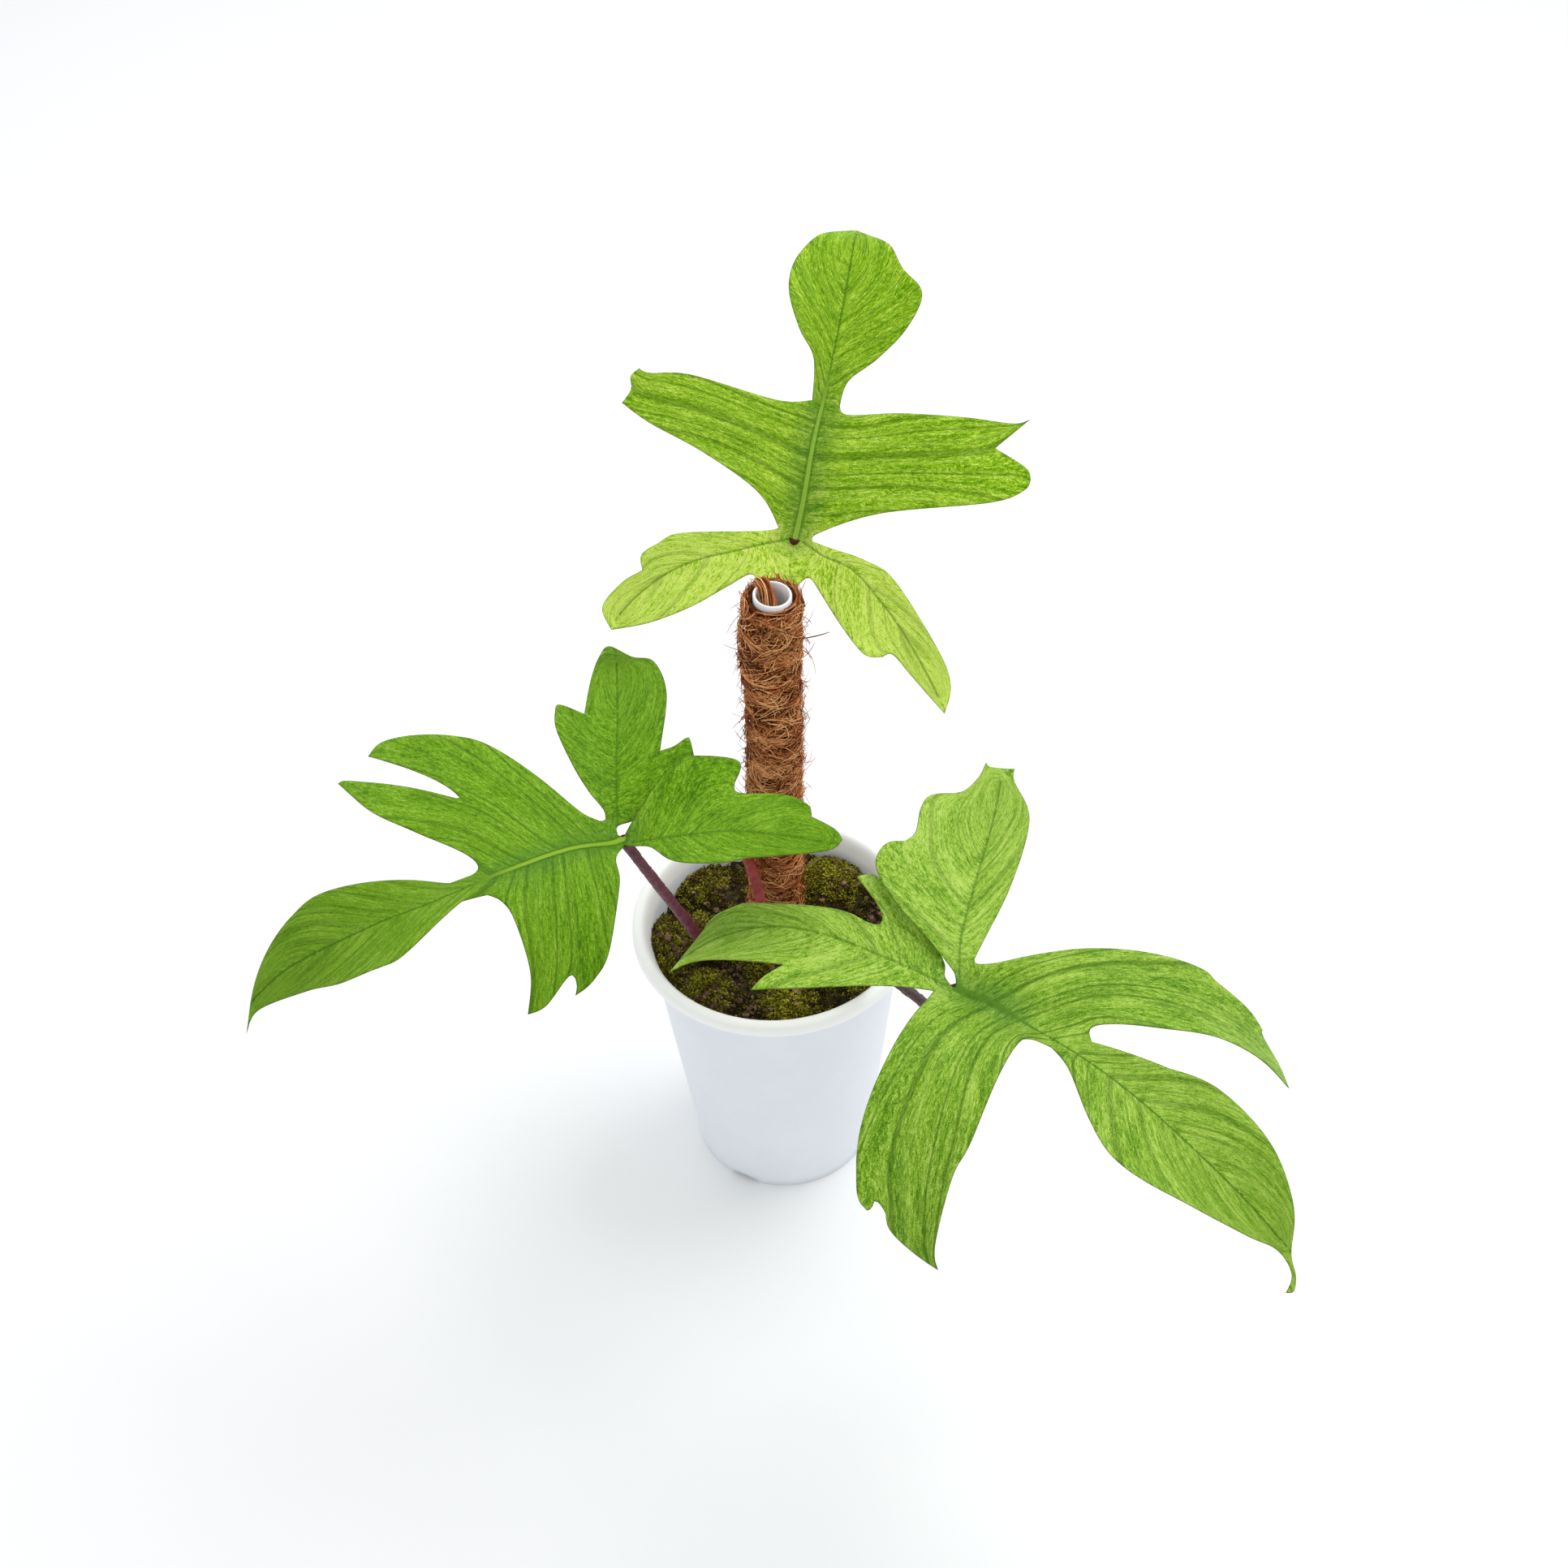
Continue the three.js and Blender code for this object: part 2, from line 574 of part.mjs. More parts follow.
// Where a point of the flat leaf lies in the object. The rear lobes are turned in towards each other.
function onLeaf(leaf, along, left) {
  const distance = Math.hypot(along, left);
  const angle = Math.atan2(left, along);
  const side = angle > 0 ? leaf.turn.left : leaf.turn.right;
  const turn = radians(side) * eased((Math.abs(angle) - Math.PI / 2) / (Math.PI / 2));
  const bearing = angle + Math.sign(angle) * turn;
  const [forward, leftward, up] = leafAxes(leaf);
  return leaf.junction
    .clone()
    .addScaledVector(forward, distance * Math.cos(bearing))
    .addScaledVector(leftward, distance * Math.sin(bearing))
    .addScaledVector(up, bladeRise(leaf, distance, THREE.MathUtils.radToDeg(angle)));
}

function leafNormal(leaf, along, left) {
  const step = 0.02;
  const here = onLeaf(leaf, along, left);
  const ahead = onLeaf(leaf, along + step, left).sub(here);
  const aside = onLeaf(leaf, along, left + Math.sign(left || 1) * step).sub(here);
  return ahead.cross(aside).multiplyScalar(Math.sign(left || 1)).normalize();
}

// Evenly spaced points of the whole margin of the flat leaf.
function marginOf(leaf) {
  const points = [];
  let corner = leaf.tip;
  for (const stroke of Object.values(leaf.margin)) {
    const curve = new THREE.SplineCurve([corner, ...stroke].map(([a, b]) => new THREE.Vector2(a, b)));
    const count = Math.max(1, Math.round(curve.getLength() / MARGIN_STEP));
    points.push(...curve.getSpacedPoints(count).slice(0, -1));
    corner = stroke.at(-1);
  }
  return points;
}

function isInside(margin, point) {
  let inside = false;
  for (let i = 0, j = margin.length - 1; i < margin.length; j = i++) {
    const p = margin[i];
    const q = margin[j];
    if (p.y > point.y !== q.y > point.y) {
      const crossing = p.x + ((point.y - p.y) * (q.x - p.x)) / (q.y - p.y);
      if (point.x < crossing) inside = !inside;
    }
  }
  return inside;
}

const nearest = (points, point) =>
  points.reduce((least, p) => Math.min(least, p.distanceTo(point)), Infinity);

// Points inside the flat leaf: three rows along each rib, then a triangular grid between them.
function innerPoints(leaf, margin) {
  const kept = [];
  const keep = (point, clear) => {
    if (isInside(margin, point) && nearest(margin, point) > clear && nearest(kept, point) > clear) {
      kept.push(point);
    }
  };
  for (const rib of leaf.ribs) {
    const curve = new THREE.SplineCurve(rib.map(([a, b]) => new THREE.Vector2(a, b)));
    const count = Math.round(curve.getLength() / RIB_STEP);
    for (let i = 0; i <= count; i++) {
      const centre = curve.getPointAt(i / count);
      const tangent = curve.getTangentAt(i / count);
      const side = new THREE.Vector2(-tangent.y, tangent.x).multiplyScalar(RIB_HALF_WIDTH);
      [centre, centre.clone().add(side), centre.clone().sub(side)].forEach((point) => keep(point, RIB_CLEAR));
    }
  }
  const box = new THREE.Box2().setFromPoints(margin);
  const row = INNER_STEP * Math.sin(Math.PI / 3);
  for (let j = 0; box.min.y + j * row < box.max.y; j++) {
    for (let x = box.min.x + (j % 2) * (INNER_STEP / 2); x < box.max.x; x += INNER_STEP) {
      keep(new THREE.Vector2(x, box.min.y + (j + 0.31) * row), INNER_CLEAR);
    }
  }
  return kept;
}

const turnOf = (p, q, r) => (q.x - p.x) * (r.y - p.y) - (q.y - p.y) * (r.x - p.x);

// Whether d lies in the circle round the anticlockwise triangle a, b, c.
function inCircle(a, b, c, d) {
  const [p, q, r] = [a, b, c].map((v) => ({ x: v.x - d.x, y: v.y - d.y, s: v.distanceToSquared(d) }));
  const value =
    p.x * (q.y * r.s - r.y * q.s) - p.y * (q.x * r.s - r.x * q.s) + p.s * (q.x * r.y - r.x * q.y);
  return value > 1e-6;
}

// Triangles of the flat leaf that keep its margin: ears first, then each inner point is dropped into
// its triangle, and shared edges are flipped until every triangle is as round as it can be.
function triangulate(margin, inner) {
  const points = [...margin, ...inner];
  const faces = THREE.ShapeUtils.triangulateShape(margin, []).map(([a, b, c]) =>
    turnOf(points[a], points[b], points[c]) > 0 ? [a, b, c] : [a, c, b],
  );
  inner.forEach((point, i) => {
    const index = faces.findIndex((face) =>
      face.every((v, k) => turnOf(points[v], points[face[(k + 1) % 3]], point) >= 0),
    );
    const [a, b, c] = faces[index];
    const n = margin.length + i;
    faces.splice(index, 1, [a, b, n], [b, c, n], [c, a, n]);
    flipEdges(points, faces);
  });
  return faces;
}

function flipEdges(points, faces) {
  let flipped = true;
  while (flipped) {
    flipped = false;
    const edges = new Map();
    for (let f = 0; f < faces.length && !flipped; f++) {
      for (let k = 0; k < 3 && !flipped; k++) {
        const [a, b, c] = [faces[f][k], faces[f][(k + 1) % 3], faces[f][(k + 2) % 3]];
        const other = edges.get(b * points.length + a);
        edges.set(a * points.length + b, { f, c });
        if (!other) continue;
        const d = other.c;
        const convex =
          turnOf(points[c], points[a], points[d]) > 0 && turnOf(points[d], points[b], points[c]) > 0;
        if (convex && inCircle(points[a], points[b], points[c], points[d])) {
          faces[f] = [c, a, d];
          faces[other.f] = [d, b, c];
          flipped = true;
        }
      }
    }
  }
}

// How far the underside stands out at a place of the flat leaf, along the ribs.
function ribRelief(leaf, point) {
  let relief = 0;
  for (const rib of leaf.ribs) {
    const curve = new THREE.SplineCurve(rib.map(([a, b]) => new THREE.Vector2(a, b)));
    const samples = curve.getSpacedPoints(60);
    samples.forEach((sample, i) => {
      const share = 1 - sample.distanceTo(point) / RIB_HALF_WIDTH;
      const height = RIB_HEIGHT * (1 - (0.7 * i) / samples.length);
      relief = Math.max(relief, height * share);
    });
  }
  return relief;
}

// The blade as a closed body: one sheet of triangles above, the same sheet below, and its edge.
function blade(leaf, thickness) {
  const margin = marginOf(leaf);
  const inner = innerPoints(leaf, margin);
  const points = [...margin, ...inner];
  const sheet = triangulate(margin, inner);
  const positions = [];
  const layer = (offset) =>
    points.forEach((point) => {
      const place = onLeaf(leaf, point.x, point.y);
      place.addScaledVector(leafNormal(leaf, point.x, point.y), offset(point));
      positions.push(place.x, place.y, place.z);
    });
  layer(() => thickness / 2);
  layer((point) => -thickness / 2 - ribRelief(leaf, point));
  const under = points.length;
  const faces = [];
  sheet.forEach(([a, b, c]) => faces.push(a, b, c, under + a, under + c, under + b));
  const anticlockwise = THREE.ShapeUtils.area(margin) > 0;
  margin.forEach((_, i) => {
    const next = (i + 1) % margin.length;
    const [a, b] = anticlockwise ? [i, next] : [next, i];
    faces.push(a, under + a, b, b, under + a, under + b);
  });
  const geometry = new THREE.BufferGeometry();
  geometry.setAttribute("position", new THREE.Float32BufferAttribute(positions, 3));
  geometry.setIndex(faces);
  geometry.computeVertexNormals();
  return geometry;
}

// A stalk's whole route: straight down into the soil, then its curve up to just under the blade.
function stalkRoute(curve, leaf) {
  const [, , up] = leafAxes(leaf);
  const foot = curve.getPoint(0);
  const buried = foot.clone().addScaledVector(curve.getTangent(0), -STALK_BURIED);
  const samples = curve.getPoints(16);
  samples[16].addScaledVector(up, -(BLADE / 2 + GAP));
  return new THREE.CatmullRomCurve3([buried, ...samples], false, "centripetal");
}

function stalk(route, leaf) {
  const limbSolid = solidOf(limb(route, STALK_FOOT_RADIUS, STALK_TIP_RADIUS, STALK_STEPS, STALK_SIDES));
  const clearance = solidOf(blade(leaf, BLADE + 2 * GAP));
  return geometryOf(largestBody(limbSolid.subtract(clearance)));
}

const finish = (color, roughness) => new THREE.MeshStandardMaterial({ color, roughness, metalness: 0 });
const POT_WHITE = finish(0xf1f1ee, 0.45);
const MOSS_GREEN = finish(0x4a4a1c, 0.95);
const COIR_BROWN = finish(0x9a5a33, 0.95);
const TUBE_WHITE = finish(0xeeeef0, 0.4);
const LEFT_GREEN = finish(0x5d9420, 0.45);
const RIGHT_GREEN = finish(0x7fae38, 0.45);
const TOP_GREEN = finish(0x8fc02c, 0.45);
const MAROON = finish(0x6b2f3c, 0.55);
const PURPLE_BROWN = finish(0x6a4a4c, 0.7);
const RED = finish(0xb1463c, 0.5);

function named(name, geometry, material) {
  const mesh = new THREE.Mesh(geometry, material);
  mesh.name = name;
  return mesh;
}

const leftRoute = stalkRoute(LEFT_STALK, LEFT_LEAF);
const rightRoute = stalkRoute(RIGHT_STALK, RIGHT_LEAF);
const topRoute = stalkRoute(TOP_STALK, TOP_LEAF);

const pole = new THREE.Group();
pole.position.copy(POLE_FOOT);
pole.quaternion.copy(POLE_LEAN);
pole.add(named("pole_tube", poleTube(), TUBE_WHITE));
pole.add(named("coir_sleeve", coirSleeve(), COIR_BROWN));

const plant = new THREE.Group();
plant.add(named("leaf_left", blade(LEFT_LEAF, BLADE), LEFT_GREEN));
plant.add(named("leaf_right", blade(RIGHT_LEAF, BLADE), RIGHT_GREEN));
plant.add(named("leaf_top", blade(TOP_LEAF, BLADE), TOP_GREEN));
plant.add(named("stalk_left", stalk(leftRoute, LEFT_LEAF), MAROON));
plant.add(named("stalk_right", stalk(rightRoute, RIGHT_LEAF), PURPLE_BROWN));
plant.add(named("stalk_top", stalk(topRoute, TOP_LEAF), RED));

const group = new THREE.Group();
group.add(named("pot", pot(), POT_WHITE));
group.add(named("soil", soil([leftRoute, rightRoute, topRoute]), MOSS_GREEN));
group.add(pole, plant);

export default group;
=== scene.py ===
# Looks of the potted florida ghost philodendron. Lengths are in millimetres until a piece is made.
import math

import bmesh
import bpy
import numpy as np
from mathutils import Matrix, Vector, geometry


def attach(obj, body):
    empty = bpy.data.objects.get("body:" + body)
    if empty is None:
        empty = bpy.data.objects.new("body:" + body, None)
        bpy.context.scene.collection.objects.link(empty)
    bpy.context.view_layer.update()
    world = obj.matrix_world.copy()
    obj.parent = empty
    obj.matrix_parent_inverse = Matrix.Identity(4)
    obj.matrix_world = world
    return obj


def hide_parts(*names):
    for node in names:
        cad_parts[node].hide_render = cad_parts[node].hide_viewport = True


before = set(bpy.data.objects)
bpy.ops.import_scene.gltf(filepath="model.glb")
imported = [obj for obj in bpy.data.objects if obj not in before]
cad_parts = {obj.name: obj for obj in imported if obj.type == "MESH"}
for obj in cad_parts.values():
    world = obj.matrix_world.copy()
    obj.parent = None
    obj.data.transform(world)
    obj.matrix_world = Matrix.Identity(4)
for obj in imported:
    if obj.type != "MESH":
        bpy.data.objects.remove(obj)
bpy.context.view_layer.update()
MM = 0.001

# The photograph's camera, in millimetres round the pot's foot and in degrees.
CAMERA_PLACE = (6.223, -571.991, 767.508)
CAMERA_DOWN = 44.45
CAMERA_ROLL = 2.6345
CAMERA_LENS = 48.64
CAMERA_SENSOR = 36

# Studio, in metres: each softbox's name, place, size and power.
SOFTBOXES = (
    ("key", (0.65, 0.35, 1.4), 1.0, 10),
    ("fill", (-0.9, -0.8, 1.2), 1.2, 2.5),
    ("back", (-0.4, 1.2, 1.0), 1.2, 2.2),
)
SOFTBOX_AIM = (0, 0, 0.2)
FLOOR_SIZE = 6.0
FLOOR_COLOR = (0.93, 0.93, 0.94, 1)
SKY_COLOR = (0.97, 0.985, 1.0, 1)
SKY_STRENGTH = 0.80

# Pot.
POT_HEIGHT = 132
FOOT_RADIUS = 38.2
FOOT_WIDTH = 2.2
FOOT_ROUND = 0.7
SHOULDER_RADIUS = 51.5
SHOULDER_Z = 125.5
WALL = 1.3
RIM_RADIUS = 57.7
RIM_ROUND = 2.6
RIM_MOUTH_RADIUS = 52
RIM_MOUTH_DEPTH = 8
FLOOR_TOP = 4.5
FLOOR_UNDERSIDE = 3
PAD_RADIUS = 9
ARCH_COUNT = 4
ARCH_WIDTH = 13
ARCH_HEIGHT = 2.8
ARCH_ANGLE = -119
POT_SIDES = 256

# Moss over the soil: the solid's low cushions, with mounds over them. It tapers to its foot in the pot.
MOSS_Z = 115.5
MOSS_EDGE = 50
MOSS_CUSHION = 4.5
MOSS_CUSHIONS = 70
MOSS_CUSHION_RADIUS = 9
MOSS_RINGS = 100
MOSS_SIDES = 240
MOSS_SKIRT_DROP = 6
MOSS_SKIRT_SHARE = 0.96
MOSS_FOOT_SHARE = 0.74
MOSS_FOOT_Z = FLOOR_TOP + 0.4
# How much darker the tufts are low in the hollows: painted shade.
MOSS_HOLLOW_SHADE = 0.3
POLE_IN_MOSS = (0.2, -0.5)
TUFTS = 13000
TUFT_LEAFLETS = 6
CRUMBS = 1500
SOIL_SEED = 7
# Mounds over the cushions: where, how wide and how high, then how bright.
MOUNDS = [
    (24, 30, 17, 9, 0.5), (-28, -26, 14, 6.5, 0.55), (3, -36, 14, 6, 0.5), (-30, 32, 15, 6, 0.25),
    (-53, -6, 25, 10, 0.15), (-8, -14, 9, 7.5, 0.35), (-31, 9, 9, 5.5, 0.4), (36, -30, 12, 5, 0.45),
]

# Moss pole.
POLE_FOOT = np.array([-2.65, 2.8, 6])
POLE_TOP = np.array([5.2, -6, 304])
TUBE_RADIUS = 7
TUBE_WALL = 1
TUBE_SIDES = 128
COIR_RADIUS = 10.7
COIR_SHORT_OF_TUBE = 3
COIR_BULGE = 1.4
COIR_BULGE_SHOWN = 1.6
COIR_BULGE_HEIGHT = 275
COIR_BULGE_REACH = 14
COIR_BULGE_ANGLE = 190
COIR_FROM = 104
COIR_PITCH = 9
COIR_CLUMPS = 420
COIR_CLUMP_STRANDS = 10
COIR_HAIRS = 1300
COLLAR_FIBRES = 520
LONG_HAIR_HEIGHT = 278
LONG_HAIR_FOOT = 9.5
LONG_HAIR_REACH = 10.5
LONG_HAIR_ANGLE = -0.1
LONG_HAIR_TURN = 0.12
TWIST_FIBRES = 190
TWIST_ANGLE = 125
TWIST_CREST = 1.9
TWIST_SAG = 1.8

# Leaf blades.
BLADE = 0.6
VALLEY_WIDTH = 16
LAP_REACH = 5
MARGIN_STEP = 1.1
GRID_STEP = 1.5
MARGIN_ROWS = (0.3, 0.75, 1.5)
RIB_ROWS = (0, 0.5, 1.0, 1.7)
VEIN_LAG = 1.7
VEIN_STEP = 6.5
COSTA_SHARE = 0.6
JUNCTION_SHARE = 1.6
SLOPE_LEAST = 0.12
RIB_STEP = 0.6
RIB_ROW_STEP = 1.2
RIB_TAPER = 0.72
RIB_HOLD = 0.35
RIM_CLEAR = 0.28
GRID_CLEAR = 0.42
EDGE_ROUND = 0.9
PALE_RIB_RISE = 0.5
RIB_GROOVE = 0.3
RIB_UNDERSIDE = 0.75
VEIN_GROOVE = 0.35
VEIN_UNDERSIDE = 0.16
VEIN_GROOVE_HALF = 1.1
VEIN_CLEAR_OF_RIB = 3
VEIN_CLEAR_OF_EDGE = 8
# Where along the midrib the look turns to that of the rear lobes and of the end lobe.
REAR_FADE = (12, -6)
END_FADE = (50, 72)
VEIN_WAVER = 1.6
VEIN_WAVER_RATE = 0.43

# Stalks.
STALK_BURIED = 14
STALK_FOOT_RADIUS = 2.25
STALK_TIP_RADIUS = 1.8
STALK_SIDES = 36

# Each leaf is drawn flat, as [along the midrib, to its left] from the junction. "vein" beside a stroke
# of the margin is where along the ribs the veins that end on it start: at the stroke's start and end.
# "turn" swings the left and right rear lobes in degrees and "lap" lifts them. "valleys" are folds by
# bearing and depth. "droops" go by bearing, spread, start and drop. "pale_rib" is strength and reach.
LEFT_LEAF = {
    "junction": (-49.5, -67, 249),
    "heading": 200,
    "pitch": 0,
    "roll": -2,
    "turn": (46, 4),
    "lap": (4, -1.5),
    "valleys": [(0, 7), (140, 7), (-104, 7)],
    "droops": [(4, 34, 45, 80), (58, 45, 15, 110), (-32, 36, 45, 40), (140, 45, 70, 30), (-104, 45, 60, 20)],
    "tip": (138.5, -9),
    "margin": [
        ([(132, -10), (114.5, 2), (102.5, 16), (90.5, 25.5), (81, 26.5), (60.5, 18.5)], (114, 52)),
        ([(52, 19.5)], (52, 46)),
        ([(48.5, 23), (46.5, 29), (46.5, 43), (51, 51.5)], (44, 38)),
        ([(44.5, 51.5), (35, 48), (33.5, 50.5), (35, 53)], (38, 22)),
        ([(28, 52.5), (20.5, 48), (10.5, 30.5), (7.5, 17.5), (0.5, 3)], (22, 3)),
        ([(-4, 13.5), (-7, 28.5), (-16.5, 39.5), (-24, 45), (-41, 60), (-46.5, 61)], (4, 26)),
        ([(-46.5, 56.5), (-43.5, 48)], (26, 21)),
        ([(-45, 44.5), (-41.5, 36.5), (-32.5, 26.5), (-32, 23.5), (-39, 22), (-31.5, 11)], (21, 6)),
        ([(-25.5, 7), (-5.5, 1), (-1, 0)], (6, 1)),
        ([(1, -2.5)], (1, 3)),
        ([(-0.5, -5.5), (-11, -4.5), (-20.5, -6), (-27.5, -10.5), (-31, -16)], (3, 8)),
        ([(-32, -23), (-31, -24), (-26, -22.5), (-21.5, -23)], (8, 9)),
        ([(-32, -46), (-33.5, -63.5), (-28, -70.5), (-23, -81.5), (-18, -77.5), (-11.5, -66.5),
          (-3.5, -49.5)], (9, 20)),
        ([(3.5, -55), (6, -52.5), (8.5, -43.5), (8, -27.5), (6, -17.5), (3, -11), (3.5, -8)], (20, 4)),
        ([(6.5, -8), (14, -14), (32, -42.5), (42.5, -52.5), (56.5, -61), (66.5, -64.5),
          (72, -61.5)], (5, 22)),
        ([(55.5, -37.5), (49.5, -26.5), (51.5, -26), (73.5, -47.5), (82, -56.5), (84.5, -57)], (24, 32)),
        ([(78, -35), (66.5, -18), (54, -4), (51, 3), (53.5, 7), (61.5, 6.5)], (34, 54)),
        ([(74, -4.5), (100, -19), (112, -21.5), (123, -20.5), (131.5, -16.5), (138.5, -9)], (54, 114)),
    ],
    "ribs": [
        [(0, 0), (20, 6), (44, 11.5), (67, 12), (88, 3), (117, -9.5), (131, -13.5)],
        [(0, 1), (-8.5, 15), (-15.5, 23.5), (-23, 31.5), (-33, 44.5), (-41, 56)],
        [(0.5, -4), (-3, -14.5), (-7, -26), (-14.5, -46.5), (-22, -70)],
    ],
    "rib_width": (2.6, 1.0, 1.0),
    "pale_rib": (0.9, 62),
}

RIGHT_LEAF = {
    "junction": (59.5, -124, 230),
    "heading": -42,
    "pitch": 0,
    "roll": 0,
    "turn": (4, 34),
    "lap": (3, -1),
    "valleys": [(0, 5), (114, 5), (-142, 5)],
    "droops": [(0, 30, 40, 52), (-62, 42, 25, 105), (38, 34, 35, 85), (114, 45, 60, 10), (-142, 42, 30, 25)],
    "tip": (135.2, -11),
    "margin": [
        ([(136.2, -6.9), (134, -2.1), (129.7, 1.4), (123.5, 11), (108.5, 18.5), (88.5, 18.5),
          (74, 12)], (112, 58)),
        ([(50.5, 3.5)], (60, 44)),
        ([(48.5, 9), (66, 24), (79.5, 41.5), (89, 51), (99, 50)], (42, 34)),
        ([(90.5, 61), (80.5, 65), (79, 67)], (34, 22)),
        ([(73, 67), (62.5, 61.5), (56, 58.5), (33, 36), (11, 16.5), (1.5, 11), (-1, 11.5)], (22, 5)),
        ([(-7, 39), (-20, 69.5), (-36, 84), (-39.5, 89.5)], (5, 30)),
        ([(-46, 84), (-48, 84.5), (-45.5, 76.5), (-45, 66), (-51, 57.5), (-50, 50), (-44.5, 39.5),
          (-44.5, 34)], (30, 10)),
        ([(-48.5, 29), (-46.5, 20.5), (-39, 14), (-26, 8.5), (-8, 5), (-3.5, 4), (-1, 1.5)], (10, 1)),
        ([(-0.6, 0), (-2, -0.6)], (1, 2)),
        ([(-6, -1.5), (-10.5, -0.5), (-21, -3), (-45, -10), (-49, -13), (-50, -16)], (3, 9)),
        ([(-35.5, -13), (-30, -13.5), (-32, -16.5), (-42.5, -23.5), (-65.5, -45.5)], (9, 27)),
        ([(-68.5, -53.5), (-65.5, -59.5), (-62, -67.5), (-60.5, -73)], (28, 32)),
        ([(-58, -66), (-52, -58.5), (-36.5, -43.5)], (32, 18)),
        ([(-37.5, -50.5), (-37, -56.5)], (18, 17)),
        ([(-22, -36.5), (-3.5, -7)], (17, 5)),
        ([(9.5, -58.5), (19, -76), (24.5, -78), (25.5, -76)], (4, 12)),
        ([(25.5, -74.5), (29, -74.5), (33.5, -76.5), (50, -74.5)], (12, 26)),
        ([(46, -71), (41.5, -56.5), (41, -45.5), (34, -15), (35, -8.5), (42.5, -7)], (28, 46)),
        ([(51.5, -11), (67.5, -23.5), (80.5, -30.5), (93, -29.5), (106.5, -21), (118.5, -10), (126, -2.6),
          (132.8, -3.2), (135.2, -11)], (48, 112)),
    ],
    "ribs": [
        [(0, 0.5), (14, -0.5), (28.5, -3), (54, -3.5), (90, -2.5), (114, 0), (125, 1)],
        [(-1.5, 4), (-8, 13.5), (-14, 26.5), (-22, 45), (-31, 65), (-39, 80)],
        [(-2.5, -1.5), (-19, -15.5), (-40.5, -31.5), (-52.5, -43), (-59.5, -55.5), (-61, -64)],
    ],
    "rib_width": (2.0, 1.1, 1.1),
    "pale_rib": (0.35, 40),
}

TOP_LEAF = {
    "junction": (14.2, 26, 303),
    "heading": 80,
    "pitch": 50,
    "roll": 0,
    "turn": (0, 0),
    "lap": (0, 0),
    "valleys": [(0, 3), (108, 3), (-126, 3)],
    "droops": [
        (0, 30, 60, 60), (-7, 14, 104, 1500), (60, 50, 30, 18), (-62, 50, 30, 18), (118, 40, 30, 15),
        (-130, 40, 30, 15),
    ],
    "tip": (110.5, -13),
    "margin": [
        ([(110, -9), (107.5, -0.5), (99, 6), (91, 8), (83, 7), (72, 2.5), (62.5, -3), (48, -3.5)], (92, 46)),
        ([(47.5, 9.5), (54.5, 40), (54.5, 55), (56, 59)], (46, 40)),
        ([(53, 62), (48.5, 61.5), (43.5, 64.5)], (40, 24)),
        ([(37, 54), (28.5, 35.5), (19, 19), (12, 11), (3, 6)], (24, 5)),
        ([(1.5, 13), (-1, 40), (-5, 48), (-9.5, 54), (-15, 53.5)], (5, 16)),
        ([(-20, 61), (-29, 67.5), (-37, 63.5)], (17, 26)),
        ([(-33.5, 49.5), (-27, 35), (-19, 22.5), (-14, 14.5), (-17, 11.5)], (26, 6)),
        ([(-18, 4), (-16.5, -3)], (5, 5)),
        ([(-14, -6.5), (-20, -11.5), (-30.5, -19.5), (-39.5, -28), (-40, -34.5)], (5, 17)),
        ([(-39, -38), (-46.5, -45.5), (-58.5, -57.5)], (17, 30)),
        ([(-48.5, -59), (-36.5, -54), (-13, -37), (-6.5, -26), (-3, -13.5), (-1, -6.5)], (29, 5)),
        ([(2, -8.5), (10, -30.5), (16, -68), (21, -79.5), (25, -81.5)], (5, 22)),
        ([(29, -79.5), (35, -68.5)], (23, 28)),
        ([(46, -80)], (28, 36)),
        ([(44, -74), (45, -57.5), (45, -35), (43.5, -16.5), (46.5, -13.5)], (38, 48)),
        ([(55, -16), (63, -25.5), (74, -35), (86.5, -39.5), (95, -32), (103.5, -26.5), (108, -18),
          (110.5, -13)], (50, 92)),
    ],
    "ribs": [
        [(0, 0), (13.5, -2.5), (33.5, -5), (53.5, -8.5), (76, -11.5), (93.5, -13), (106, -13.5)],
        [(-0.5, 1.5), (-3, 11), (-6.5, 22), (-10, 33.5), (-16, 45), (-24.5, 55), (-31, 60.5)],
        [(-1.5, -3), (-6, -11), (-10, -21.5), (-19, -31), (-29.5, -40), (-43.5, -49.5), (-52, -54.5)],
    ],
    "rib_width": (2.0, 0.9, 0.9),
    "pale_rib": (0.75, 66),
}

LEFT_STALK = [(-26.4, -7.1, 117), (-30.6, -21.1, 149.7), (-37.9, -60.1, 212.4), (-49.5, -67, 249)]
RIGHT_STALK = [(22, -21, 117), (41.5, -37, 165), (62.5, -119, 178), (59.5, -124, 230)]
TOP_STALK = [
    (-7.9, -12.3, 117), (-5.6, -16.6, 134), (-4.4, -19, 151), (-5.6, -17.4, 167.5), (-8.7, -12.6, 178.5),
    (-12.3, -4, 183.5), (-10.5, 5, 187.5), (-4, 11, 196.5), (1, 16, 226), (8, 22, 266), (14.2, 26, 303),
]


# Small helpers.
def seeded(seed):
    """The solid's own draw between 0 and 1."""
    state = seed
    while True:
        state = (state * 1664525 + 1013904223) % 4294967296
        yield state / 4294967296


def eased(t):
    x = np.clip(t, 0, 1)
    return x * x * (3 - 2 * x)


def unit(v):
    return v / np.maximum(np.linalg.norm(v, axis=-1, keepdims=True), 1e-9)


